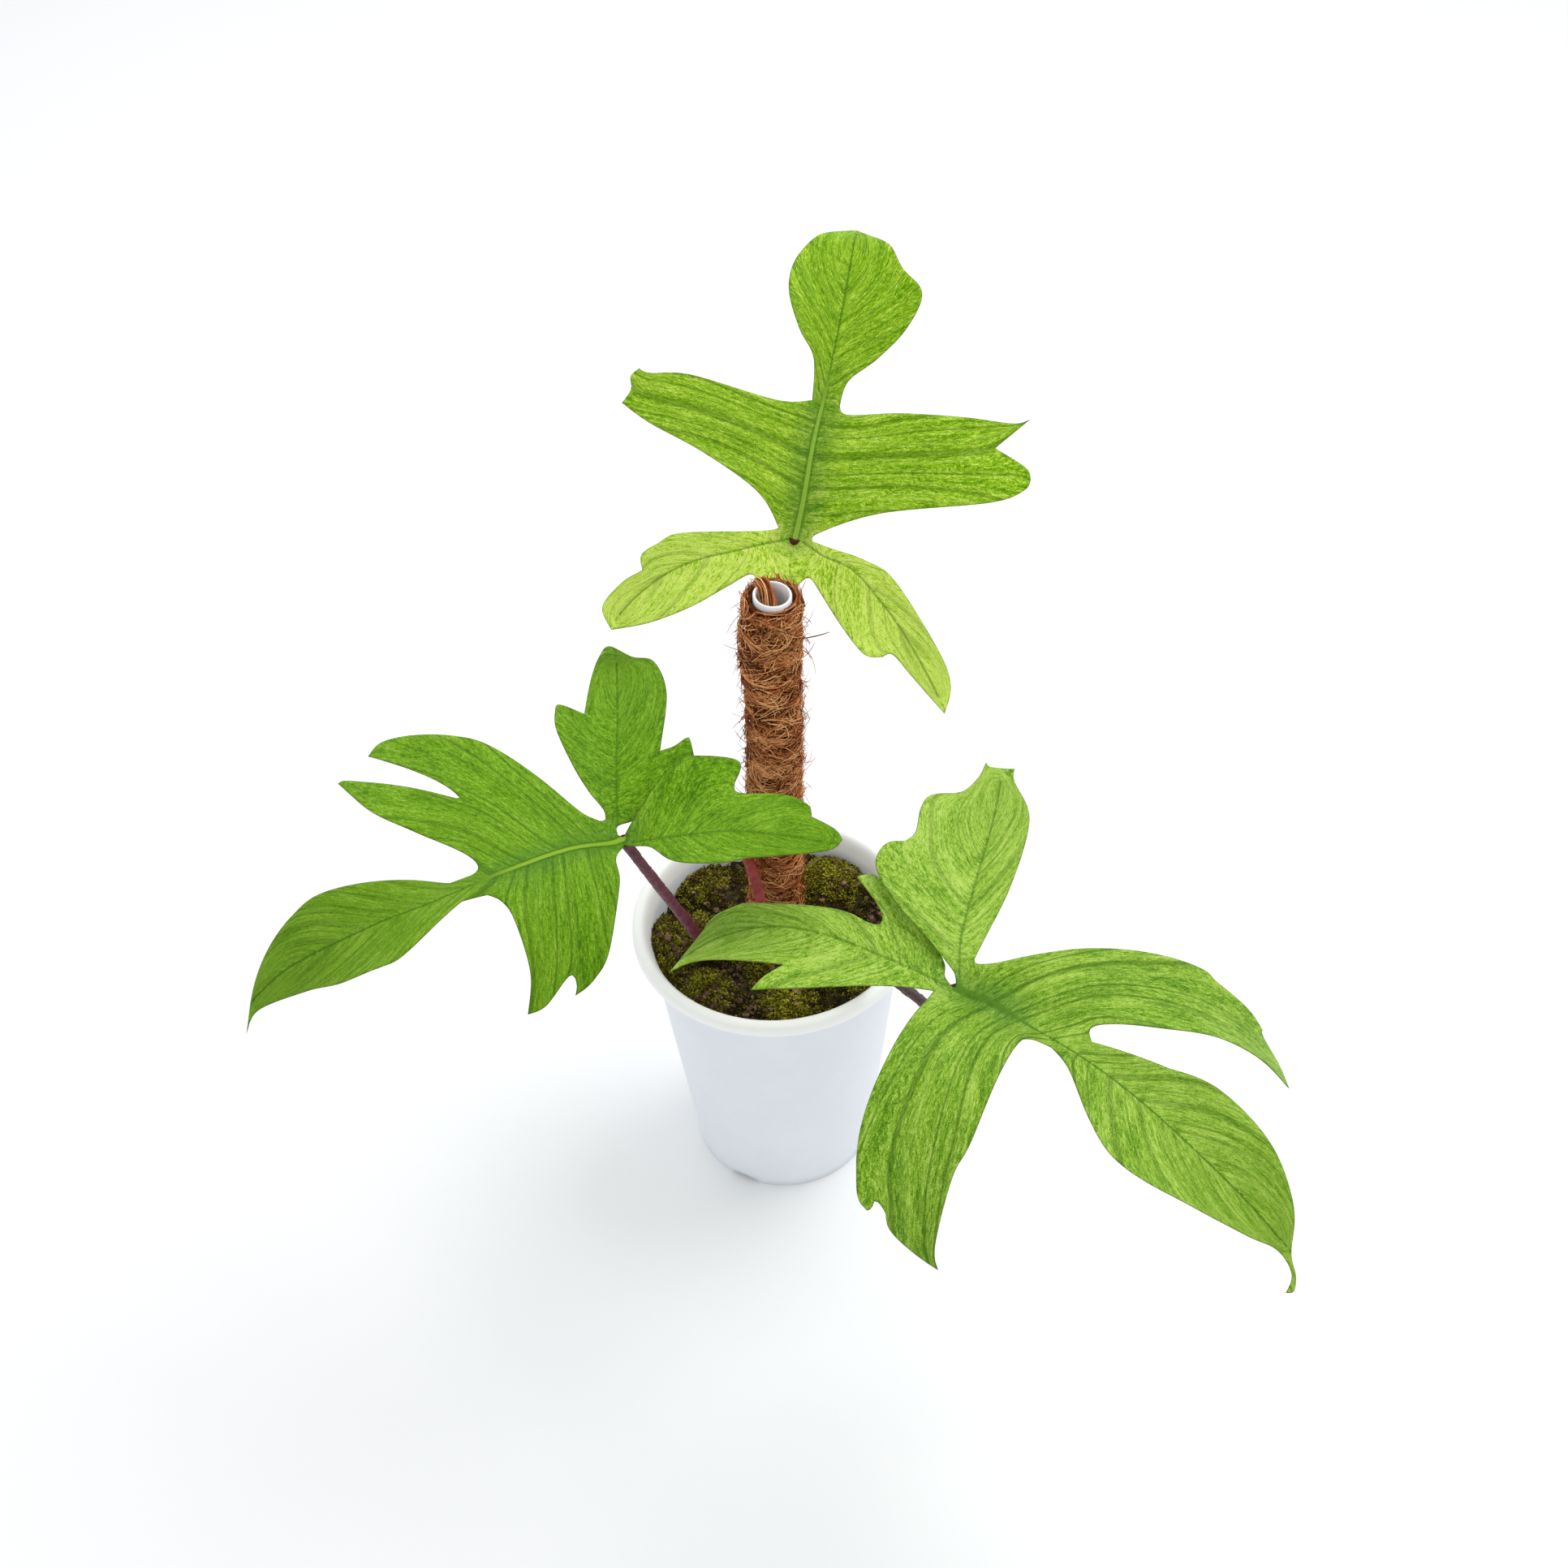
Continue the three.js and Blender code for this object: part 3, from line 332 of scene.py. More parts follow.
def uniform_spline(points, step):
    """Catmull-Rom curve through flat points, at even spaces of about step, both ends kept."""
    p = np.array(points, float)
    t = np.linspace(0, len(p) - 1, 201)
    i = np.minimum(t.astype(int), len(p) - 2)
    w = (t - i)[:, None]
    p0, p1 = p[np.maximum(i - 1, 0)], p[i]
    p2, p3 = p[i + 1], p[np.minimum(i + 2, len(p) - 1)]
    v0, v1 = (p2 - p0) / 2, (p3 - p1) / 2
    curve = (2 * p1 - 2 * p2 + v0 + v1) * w**3 + (-3 * p1 + 3 * p2 - 2 * v0 - v1) * w**2 + v0 * w + p1
    return evenly(curve, step)


def lengths_along(curve):
    return np.r_[0, np.cumsum(np.linalg.norm(np.diff(curve, axis=0), axis=1))]


def round_angles(sides):
    return np.linspace(0, 2 * np.pi, sides, endpoint=False)


def softened(rough, times):
    """A rough grid, each value averaged with its four neighbours again and again."""
    for _ in range(times):
        rough = (rough + np.roll(rough, 1, 0) + np.roll(rough, -1, 0) + np.roll(rough, 1, 1)
                 + np.roll(rough, -1, 1)) / 5
    return rough


def scattered(rng, radius, count):
    """Flat places spread evenly over a disc."""
    distance = radius * np.sqrt(rng.random(count))
    angle = rng.uniform(0, 2 * np.pi, count)
    return distance * np.cos(angle), distance * np.sin(angle)


def evenly(curve, step):
    lengths = lengths_along(curve)
    count = max(1, round(lengths[-1] / step))
    at = np.linspace(0, lengths[-1], count + 1)
    return np.stack([np.interp(at, lengths, curve[:, k]) for k in range(curve.shape[1])], 1)


def round_spline(points, parts):
    """Centripetal Catmull-Rom curve through points in space, with parts pieces to each span."""
    p = np.array(points, float)
    p = np.vstack([2 * p[0] - p[1], p, 2 * p[-1] - p[-2]])
    rows = []
    for a, b, c, d in zip(p, p[1:], p[2:], p[3:]):
        t0 = 0
        t1 = t0 + np.linalg.norm(b - a) ** 0.5
        t2 = t1 + np.linalg.norm(c - b) ** 0.5
        t3 = t2 + np.linalg.norm(d - c) ** 0.5
        t = np.linspace(t1, t2, parts, endpoint=False)[:, None]
        a1 = (t1 - t) / (t1 - t0) * a + (t - t0) / (t1 - t0) * b
        a2 = (t2 - t) / (t2 - t1) * b + (t - t1) / (t2 - t1) * c
        a3 = (t3 - t) / (t3 - t2) * c + (t - t2) / (t3 - t2) * d
        b1 = (t2 - t) / (t2 - t0) * a1 + (t - t0) / (t2 - t0) * a2
        b2 = (t3 - t) / (t3 - t1) * a2 + (t - t1) / (t3 - t1) * a3
        rows.append((t2 - t) / (t2 - t1) * b1 + (t - t1) / (t2 - t1) * b2)
    return np.vstack(rows + [p[-2:-1]])


def bezier(points, count):
    p = np.array(points, float)
    t = np.linspace(0, 1, count)[:, None]
    return (1 - t) ** 3 * p[0] + 3 * (1 - t) ** 2 * t * p[1] + 3 * (1 - t) * t * t * p[2] + t**3 * p[3]


def piece(name, points, faces, material, node=None, smooth=True, values=()):
    """A mesh object from points in millimetres and faces that all have as many corners."""
    faces = np.asarray(faces, np.int32)
    mesh = bpy.data.meshes.new(name)
    mesh.vertices.add(len(points))
    mesh.vertices.foreach_set("co", (np.asarray(points, float) * MM).astype(np.float32).ravel())
    mesh.loops.add(faces.size)
    mesh.loops.foreach_set("vertex_index", faces.ravel())
    mesh.polygons.add(len(faces))
    mesh.polygons.foreach_set("loop_start", np.arange(0, faces.size, faces.shape[1], dtype=np.int32))
    mesh.polygons.foreach_set("loop_total", np.full(len(faces), faces.shape[1], np.int32))
    mesh.update(calc_edges=True)
    mesh.validate()
    mesh.shade_smooth() if smooth else mesh.shade_flat()
    for key, value in dict(values).items():
        kind = "FLOAT_VECTOR" if value.ndim == 2 else "FLOAT"
        attribute = mesh.attributes.new(key, kind, "POINT")
        attribute.data.foreach_set("vector" if value.ndim == 2 else "value", value.astype(np.float32).ravel())
    mesh.materials.append(material)
    obj = bpy.data.objects.new(name, mesh)
    bpy.context.scene.collection.objects.link(obj)
    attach(obj, "root")
    if node:
        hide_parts(node)
    return obj


def grid_faces(rows, columns, closed=True):
    """Quads between rows of points, each row closed on itself or open."""
    spans = columns if closed else columns - 1
    i, j = np.meshgrid(np.arange(rows - 1), np.arange(spans), indexing="ij")
    a, b = i * columns + j, i * columns + (j + 1) % columns
    return np.stack([a, b, b + columns, a + columns], -1).reshape(-1, 4)


# Material helpers: a thin layer over the node editor.
class Nodes:
    def __init__(self, name):
        self.material = bpy.data.materials.new(name)
        self.material.use_nodes = True
        self.tree = self.material.node_tree
        self.shader = self.tree.nodes["Principled BSDF"]
        self.output = self.tree.nodes["Material Output"]

    def add(self, kind, inputs=(), **settings):
        node = self.tree.nodes.new(kind)
        for key, value in settings.items():
            setattr(node, key, value)
        for key, value in dict(inputs).items():
            self.put(node.inputs[key], value)
        return node

    def put(self, socket, value):
        if isinstance(value, bpy.types.NodeSocket):
            self.tree.links.new(value, socket)
        else:
            socket.default_value = value

    def set(self, **values):
        names = {"color": "Base Color", "roughness": "Roughness", "normal": "Normal", "ior": "IOR",
                 "coat": "Coat Weight", "coat_roughness": "Coat Roughness", "sheen": "Sheen Weight",
                 "specular": "Specular IOR Level", "subsurface": "Subsurface Weight",
                 "subsurface_radius": "Subsurface Radius", "subsurface_scale": "Subsurface Scale"}
        for key, value in values.items():
            self.put(self.shader.inputs[names[key]], value)

    def place(self):
        return self.add("ShaderNodeTexCoord").outputs["Object"]

    def value_of(self, name, socket="Fac"):
        return self.add("ShaderNodeAttribute", attribute_name=name, attribute_type="GEOMETRY").outputs[socket]

    def math(self, how, a, b=0.0, c=0.0, clamp=False):
        return self.add("ShaderNodeMath", {0: a, 1: b, 2: c}, operation=how, use_clamp=clamp).outputs[0]

    def plus(self, a, b):
        return self.math("ADD", a, b)

    def minus(self, a, b):
        return self.math("SUBTRACT", a, b)

    def times(self, a, b):
        return self.math("MULTIPLY", a, b)

    def times_plus(self, a, b, c):
        return self.math("MULTIPLY_ADD", a, b, c)

    def over(self, a, b):
        return self.math("DIVIDE", a, b)

    def vector(self, how, a, b=(0, 0, 0)):
        return self.add("ShaderNodeVectorMath", {0: a, 1: b}, operation=how).outputs[0]

    def join(self, x, y, z=0.0):
        return self.add("ShaderNodeCombineXYZ", {"X": x, "Y": y, "Z": z}).outputs[0]

    def split(self, v):
        return self.add("ShaderNodeSeparateXYZ", {0: v}).outputs

    def noise(self, v, scale, detail=2.0, rough=0.5, lacunarity=2.0):
        inputs = {"Vector": v, "Scale": scale, "Detail": detail, "Roughness": rough, "Lacunarity": lacunarity}
        return self.add("ShaderNodeTexNoise", inputs).outputs[0]

    def ramp(self, value, stops, how="LINEAR"):
        node = self.add("ShaderNodeValToRGB", {0: value})
        node.color_ramp.interpolation = how
        elements = node.color_ramp.elements
        while len(elements) < len(stops):
            elements.new(0.5)
        for element, (position, color) in zip(elements, stops):
            element.position = position
            element.color = (*color, 1) if len(color) == 3 else color
        return node.outputs[0]

    def band(self, value, low, high, start=0.0, end=1.0):
        inputs = {"Value": value, "From Min": low, "From Max": high, "To Min": start, "To Max": end}
        return self.add("ShaderNodeMapRange", inputs, interpolation_type="SMOOTHSTEP").outputs[0]

    def mix(self, share, a, b, how="MIX"):
        node = self.add("ShaderNodeMix", data_type="RGBA", blend_type=how)
        self.put(node.inputs[0], share)
        for socket, value in ((node.inputs[6], a), (node.inputs[7], b)):
            self.put(socket, (*value, 1) if isinstance(value, tuple) and len(value) == 3 else value)
        return node.outputs[2]

    def bump(self, height, distance, strength=1.0, normal=None):
        node = self.add("ShaderNodeBump", {"Height": height, "Distance": distance * MM, "Strength": strength})
        if normal:
            self.put(node.inputs["Normal"], normal)
        return node.outputs[0]


# Leaf blades.
def polar(flat):
    distance = np.hypot(flat[:, 0], flat[:, 1])
    return distance, np.arctan2(flat[:, 1], flat[:, 0])


def blade_rise(leaf, distance, angle):
    degrees = np.degrees(angle)
    rise = np.zeros_like(distance)
    for bearing, depth in leaf["valleys"]:
        apart = np.abs((degrees - bearing + 180) % 360 - 180)
        aside = (distance * np.sin(np.radians(np.minimum(apart, 90)))) ** 2
        rise += depth * aside / (aside + VALLEY_WIDTH**2)
    for bearing, spread, start, drop in leaf["droops"]:
        share = np.clip((degrees - bearing) / spread, -1, 1)
        past = np.maximum(0, distance - start) / 100
        rise -= drop * (0.5 + 0.5 * np.cos(np.pi * share)) * past * past
    lap = np.where(degrees > 0, leaf["lap"][0], leaf["lap"][1])
    return rise + lap * eased((np.abs(degrees) - 90) / 90) * (1 - np.exp(-distance / LAP_REACH))


def leaf_axes(leaf):
    """Along the midrib, to its left and up, as rows."""
    roll, pitch, heading = (math.radians(leaf[k]) for k in ("roll", "pitch", "heading"))
    rx = np.array([[1, 0, 0], [0, math.cos(roll), -math.sin(roll)], [0, math.sin(roll), math.cos(roll)]])
    ry = np.array([[math.cos(pitch), 0, -math.sin(pitch)], [0, 1, 0], [math.sin(pitch), 0, math.cos(pitch)]])
    rz = np.array(
        [[math.cos(heading), -math.sin(heading), 0], [math.sin(heading), math.cos(heading), 0], [0, 0, 1]]
    )
    return (rz @ ry @ rx).T


def on_leaf(leaf, flat):
    """Where points of the flat leaf lie in the object."""
    distance, angle = polar(flat)
    turn = np.radians(np.where(angle > 0, leaf["turn"][0], leaf["turn"][1]))
    bearing = angle + np.sign(angle) * turn * eased((np.abs(angle) - np.pi / 2) / (np.pi / 2))
    local = np.stack(
        [distance * np.cos(bearing), distance * np.sin(bearing), blade_rise(leaf, distance, angle)], 1
    )
    return np.array(leaf["junction"], float) + local @ leaf_axes(leaf)


def leaf_normals(leaf, flat):
    """Upward normals of the blade, taken on each point's own side of the fold behind the junction."""
    step = 0.02
    side = np.where(flat[:, 1] < 0, -1.0, 1.0)
    here = on_leaf(leaf, flat)
    ahead = on_leaf(leaf, flat + [step, 0]) - here
    aside = on_leaf(leaf, flat + np.stack([np.zeros(len(flat)), side * step], 1)) - here
    return unit(np.cross(ahead, aside) * side[:, None])


def distance_to(line, points, closed=False):
    """Shortest distance of flat points from a line, and how far along the line that place is."""
    ends = np.roll(line, -1, 0) if closed else line[1:]
    starts = line if closed else line[:-1]
    spans = ends - starts
    lengths = np.maximum(np.linalg.norm(spans, axis=1), 1e-9)
    before = np.r_[0, np.cumsum(lengths)][:-1]
    best = np.full(len(points), 1e9)
    along = np.zeros(len(points))
    for k in range(0, len(points), 2000):
        p = points[k:k + 2000]
        t = np.clip(((p[:, None] - starts) * spans).sum(2) / lengths**2, 0, 1)
        gaps = np.linalg.norm(starts + t[..., None] * spans - p[:, None], axis=2)
        nearest = gaps.argmin(1)
        rows = np.arange(len(p))
        best[k:k + 2000] = gaps[rows, nearest]
        along[k:k + 2000] = before[nearest] + t[rows, nearest] * lengths[nearest]
    return best, along


def inside(line, points):
    ends = np.roll(line, -1, 0)
    hits = np.zeros(len(points), int)
    for p, q in zip(line, ends):
        crosses = (p[1] > points[:, 1]) != (q[1] > points[:, 1])
        if not crosses.any() or p[1] == q[1]:
            continue
        x = p[0] + (points[:, 1] - p[1]) * (q[0] - p[0]) / (q[1] - p[1])
        hits += crosses & (points[:, 0] < x)
    return hits % 2 == 1


def leaf_margin(leaf):
    """Points of the flat margin, and where along the ribs the vein that ends at each one starts."""
    points, veins = [], []
    corner = leaf["tip"]
    for stroke, (first, last) in leaf["margin"]:
        line = uniform_spline([corner, *stroke], MARGIN_STEP)
        points.append(line[:-1])
        share = np.linspace(0, 1, len(line))[:-1]
        share = share**VEIN_LAG if last > first else 1 - (1 - share) ** VEIN_LAG
        veins.append(first + (last - first) * share)
        corner = stroke[-1]
    return np.vstack(points), np.concatenate(veins)


def thinned(points, clear, kept=()):
    """The points that keep clear of the kept ones and of those before them."""
    cells = {}
    result = []

    def cell(p):
        return int(p[0] // clear), int(p[1] // clear)

    def near(p):
        i, j = cell(p)
        for a in (i - 1, i, i + 1):
            for b in (j - 1, j, j + 1):
                for q in cells.get((a, b), ()):
                    if (q[0] - p[0]) ** 2 + (q[1] - p[1]) ** 2 < clear * clear:
                        return True
        return False

    for q in kept:
        cells.setdefault(cell(q), []).append(q)
    for p in points:
        if not near(p):
            cells.setdefault(cell(p), []).append(p)
            result.append(p)
    return np.array(result).reshape(-1, 2)


def twice_area(a, b, c):
    """Twice the flat area of each triangle, positive when it turns to the left."""
    return (b[:, 0] - a[:, 0]) * (c[:, 1] - a[:, 1]) - (b[:, 1] - a[:, 1]) * (c[:, 0] - a[:, 0])


def sides_of(triangles):
    return np.vstack([triangles[:, [0, 1]], triangles[:, [1, 2]], triangles[:, [2, 0]]])


def leaf_sheet(leaf):
    """Flat triangles of a leaf: its margin, rows just inside it and along the ribs, and a grid."""
    margin, veins = leaf_margin(leaf)
    tangent = unit(np.roll(margin, -1, 0) - np.roll(margin, 1, 0))
    inward = np.stack([-tangent[:, 1], tangent[:, 0]], 1)
    area = (margin[:, 0] * np.roll(margin[:, 1], -1) - np.roll(margin[:, 0], -1) * margin[:, 1]).sum()
    inward *= np.sign(area)
    rows = []
    for inset in MARGIN_ROWS:
        row = margin + inward * inset
        row = row[inside(margin, row)]
        rows.append(row[distance_to(margin, row, True)[0] > inset * 0.8])
    ribs = []
    for rib, width in zip(leaf["ribs"], leaf["rib_width"]):
        line = uniform_spline(rib, RIB_ROW_STEP)
        run = unit(np.gradient(line, axis=0))
        side = np.stack([-run[:, 1], run[:, 0]], 1)
        for row in RIB_ROWS:
            ribs += [line + side * row * width / 2, line - side * row * width / 2]
    low, high = margin.min(0), margin.max(0)
    height = GRID_STEP * math.sin(math.pi / 3)
    columns = np.arange((high[0] - low[0]) // GRID_STEP + 1)
    j, i = np.meshgrid(np.arange((high[1] - low[1]) // height + 1), columns, indexing="ij")
    grid = np.stack([low[0] + (i + (j % 2) / 2) * GRID_STEP, low[1] + (j + 0.31) * height], -1)
    inner = np.vstack([*ribs, grid.reshape(-1, 2)])
    inner = inner[inside(margin, inner)]
    inner = inner[distance_to(margin, inner, True)[0] > MARGIN_ROWS[-1] + 0.4]
    points = np.vstack([margin, thinned(np.vstack(rows), RIM_CLEAR, margin), thinned(inner, GRID_CLEAR)])
    count = len(margin)
    edges = [(k, (k + 1) % count) for k in range(count)]
    found = geometry.delaunay_2d_cdt([Vector(p) for p in points], edges, [], 1, 1e-6)
    flat = np.array([tuple(v) for v in found[0]])
    triangles = np.array([list(f) for f in found[2] if len(f) == 3])
    a, b, c = (flat[triangles[:, k]] for k in range(3))
    turn = twice_area(a, b, c)
    triangles = np.where((turn > 0)[:, None], triangles, triangles[:, [0, 2, 1]])
    triangles = triangles[inside(margin, (a + b + c) / 3) & (np.abs(turn) > 1e-6)]
    return flat, triangles, margin, veins


def rim_edges(triangles):
    """Directed edges that only one triangle has."""
    edges = sides_of(triangles)
    size = triangles.max() + 1
    forward = edges[:, 0] * size + edges[:, 1]
    backward = edges[:, 1] * size + edges[:, 0]
    return edges[~np.isin(forward, backward)]


def rib_line(rib, margin):
    """A rib's centre line, run on ahead to the margin."""
    line = uniform_spline(rib, RIB_STEP)
    course = unit(line[-1] - line[-4])
    offset = margin - line[-1]
    ahead = offset @ course
    beside = np.abs(offset[:, 0] * course[1] - offset[:, 1] * course[0])
    target = margin[np.argmin(np.where(ahead > 0, beside + 0.15 * ahead, 1e3))]
    return np.vstack([line, target])


def vein_field(leaf, flat, triangles, margin, veins):
    """A smooth field over the leaf whose level lines are its side veins, and how fast it changes.

    Its values are held at the margin and along the ribs, and it's harmonic in between: conjugate
    gradients solve it on the triangles.
    """
    to_margin, along = distance_to(margin, flat, True)
    lengths = np.r_[0, np.cumsum(np.linalg.norm(np.roll(margin, -1, 0) - margin, axis=1))]
    fixed = to_margin < 1e-3
    value = np.interp(along, lengths, np.r_[veins, veins[0]])
    for index, (rib, width) in enumerate(zip(leaf["ribs"], leaf["rib_width"])):
        gap, run = distance_to(uniform_spline(rib, RIB_STEP), flat)
        near = (gap < RIB_HOLD * width) & ~fixed
        value = np.where(near, run * (COSTA_SHARE if index else 1), value)
        fixed |= near
    edges = sides_of(triangles)
    opposite = np.concatenate([triangles[:, 2], triangles[:, 0], triangles[:, 1]])
    u, v = flat[edges[:, 0]] - flat[opposite], flat[edges[:, 1]] - flat[opposite]
    cross = np.abs(u[:, 0] * v[:, 1] - u[:, 1] * v[:, 0])
    weight = np.clip((u * v).sum(1) / np.maximum(cross, 1e-6), 0.02, 20) / 2
    i, j = np.r_[edges[:, 0], edges[:, 1]], np.r_[edges[:, 1], edges[:, 0]]
    w = np.r_[weight, weight]
    count = len(flat)
    total = np.bincount(i, w, count)

    def apply(x):
        return np.where(fixed, 0, total * x - np.bincount(i, w * x[j], count))

    start = np.where(fixed, value, np.mean(value[fixed]))
    x = np.where(fixed, 0, start)
    rhs = np.where(fixed, 0, np.bincount(i, w * np.where(fixed, value, 0)[j], count))
    r = rhs - apply(x)
    p = r / total
    z = p.copy()
    rz = (r * z).sum()
    for _ in range(600):
        q = apply(p)
        step = rz / max((p * q).sum(), 1e-12)
        x += step * p
        r -= step * q
        if np.abs(r).max() < 1e-4:
            break
        z = r / total
        new = (r * z).sum()
        p = z + new / rz * p
        rz = new
    field = np.where(fixed, value, x)
    a, b, c = (flat[triangles[:, k]] for k in range(3))
    fa, fb, fc = (field[triangles[:, k]] for k in range(3))
    twice = twice_area(a, b, c)
    gx = (fa * (b[:, 1] - c[:, 1]) + fb * (c[:, 1] - a[:, 1]) + fc * (a[:, 1] - b[:, 1])) / twice
    gy = (fa * (c[:, 0] - b[:, 0]) + fb * (a[:, 0] - c[:, 0]) + fc * (b[:, 0] - a[:, 0])) / twice
    slope = np.clip(np.hypot(gx, gy), 0.02, 4)
    share = np.bincount(triangles.ravel(), np.repeat(slope, 3), count)
    return field, share / np.maximum(np.bincount(triangles.ravel(), minlength=count), 1), to_margin


def leaf_blade(name, leaf, material, seed):
    flat, triangles, margin, veins = leaf_sheet(leaf)
    field, slope, to_margin = vein_field(leaf, flat, triangles, margin, veins)
    rib = np.zeros(len(flat))
    rib_gap = np.full(len(flat), 1e3)
    tip_gap = np.full(len(flat), 1e3)
    side = np.zeros(len(flat))
    for index, (line, width) in enumerate(zip(leaf["ribs"], leaf["rib_width"])):
        curve = rib_line(line, margin)
        gap, along = distance_to(curve, flat)
        steps = lengths_along(curve)
        run = unit(np.gradient(curve, axis=0))
        spot = np.stack([np.interp(along, steps, curve[:, k]) for k in (0, 1)], 1)
        course = np.stack([np.interp(along, steps, run[:, k]) for k in (0, 1)], 1)
        offset = flat - spot
        turned = course[:, 0] * offset[:, 1] - course[:, 1] * offset[:, 0]
        half_width = 0.5 * width * (1 - RIB_TAPER * along / steps[-1])
        rib = np.maximum(rib, np.exp(-((gap / half_width) ** 2)))
        side = np.where(gap < rib_gap, np.tanh(turned / 2.5), side)
        rib_gap = np.minimum(rib_gap, gap)
        tip_gap = np.minimum(tip_gap, np.linalg.norm(flat - line[-1], axis=1))
        tip_gap = np.minimum(tip_gap, JUNCTION_SHARE * np.linalg.norm(flat - line[0], axis=1))
        if index == 0:
            midrib_gap, midrib_run = gap, along
            pale = eased((leaf["pale_rib"][1] - along) / 25) * np.exp(-((gap / half_width) ** 2))
    warped = field + VEIN_WAVER * np.sin(VEIN_WAVER_RATE * field + seed)
    vein_gap = np.abs((warped / VEIN_STEP) % 1 - 0.5) * VEIN_STEP / np.maximum(slope, SLOPE_LEAST)
    groove = np.exp(-((vein_gap / VEIN_GROOVE_HALF) ** 2)) * eased(rib_gap / VEIN_CLEAR_OF_RIB)
    groove = groove * eased(to_margin / VEIN_CLEAR_OF_EDGE)
    edge = np.clip(to_margin / EDGE_ROUND, 0, 1)
    half = BLADE / 2 * np.sqrt(np.clip(1 - (1 - edge) ** 2, 0, 1))
    normal = leaf_normals(leaf, flat)
    place = on_leaf(leaf, flat)
    relief = PALE_RIB_RISE * pale - RIB_GROOVE * np.maximum(0, rib - pale) - VEIN_GROOVE * groove
    top = place + normal * (half + relief)[:, None]
    swell = RIB_UNDERSIDE * rib * (to_margin > 0.4) - VEIN_UNDERSIDE * groove
    under = place - normal * (half + swell)[:, None]
    count = len(flat)
    rim = rim_edges(triangles)
    on_rim = np.zeros(count, bool)
    on_rim[rim.ravel()] = True
    twin = np.where(on_rim, np.arange(count), count + np.cumsum(~on_rim) - 1)
    points = np.vstack([np.where(on_rim[:, None], place, top), under[~on_rim]])
    faces = np.vstack([triangles, twin[triangles][:, ::-1]])
    keep = np.r_[np.arange(count), np.arange(count)[~on_rim]]
    upper = np.r_[np.ones(count), np.zeros((~on_rim).sum())]
    values = {
        "flat": np.column_stack([flat, field])[keep],
        "midrib_gap": midrib_gap[keep],
        "midrib_run": midrib_run[keep],
        "side": side[keep],
        "rib_gap": rib_gap[keep],
        "edge_gap": to_margin[keep],
        "tip_gap": tip_gap[keep],
        "slope": np.maximum(slope, SLOPE_LEAST)[keep],
        "upper": upper,
    }
    blade = name.replace("leaf_", "blade_")
    return piece(blade, points, faces, material, node=name, values=values)


# Tones run from the darkest to the palest, then how much lighter the rear lobes and the end lobe are,
# partly their own tone and partly painted light, most on the top leaf's rear lobes lit through from behind,
# and how strong the broad bands and the fine speckle are; "veins" is how dark the painted shade in the
# vein grooves is.
LEAF_LOOKS = {
    "leaf_left": {
        "tones": [(0.050, 0.150, 0.000), (0.115, 0.290, 0.000), (0.18, 0.39, 0.004), (0.34, 0.56, 0.06)],
        "rib": (0.30, 0.50, 0.03), "rear": -0.015, "end": 0.045, "bands": 0.40, "fine": 1.3, "veins": 0.5,
    },
    "leaf_right": {
        "tones": [(0.060, 0.17, 0.004), (0.145, 0.33, 0.010), (0.275, 0.49, 0.030), (0.50, 0.70, 0.13)],
        "rib": (0.12, 0.28, 0.02), "rear": 0.10, "end": 0.045, "bands": 0.60, "fine": 1.4, "veins": 0.6,
    },
    "leaf_top": {
        "tones": [(0.065, 0.20, 0.000), (0.195, 0.43, 0.000), (0.34, 0.60, 0.002), (0.74, 0.93, 0.17)],
        "rib": (0.38, 0.62, 0.07), "rear": 0.23, "end": -0.05, "bands": 0.34, "fine": 1.5, "veins": 0.5,
    },
}


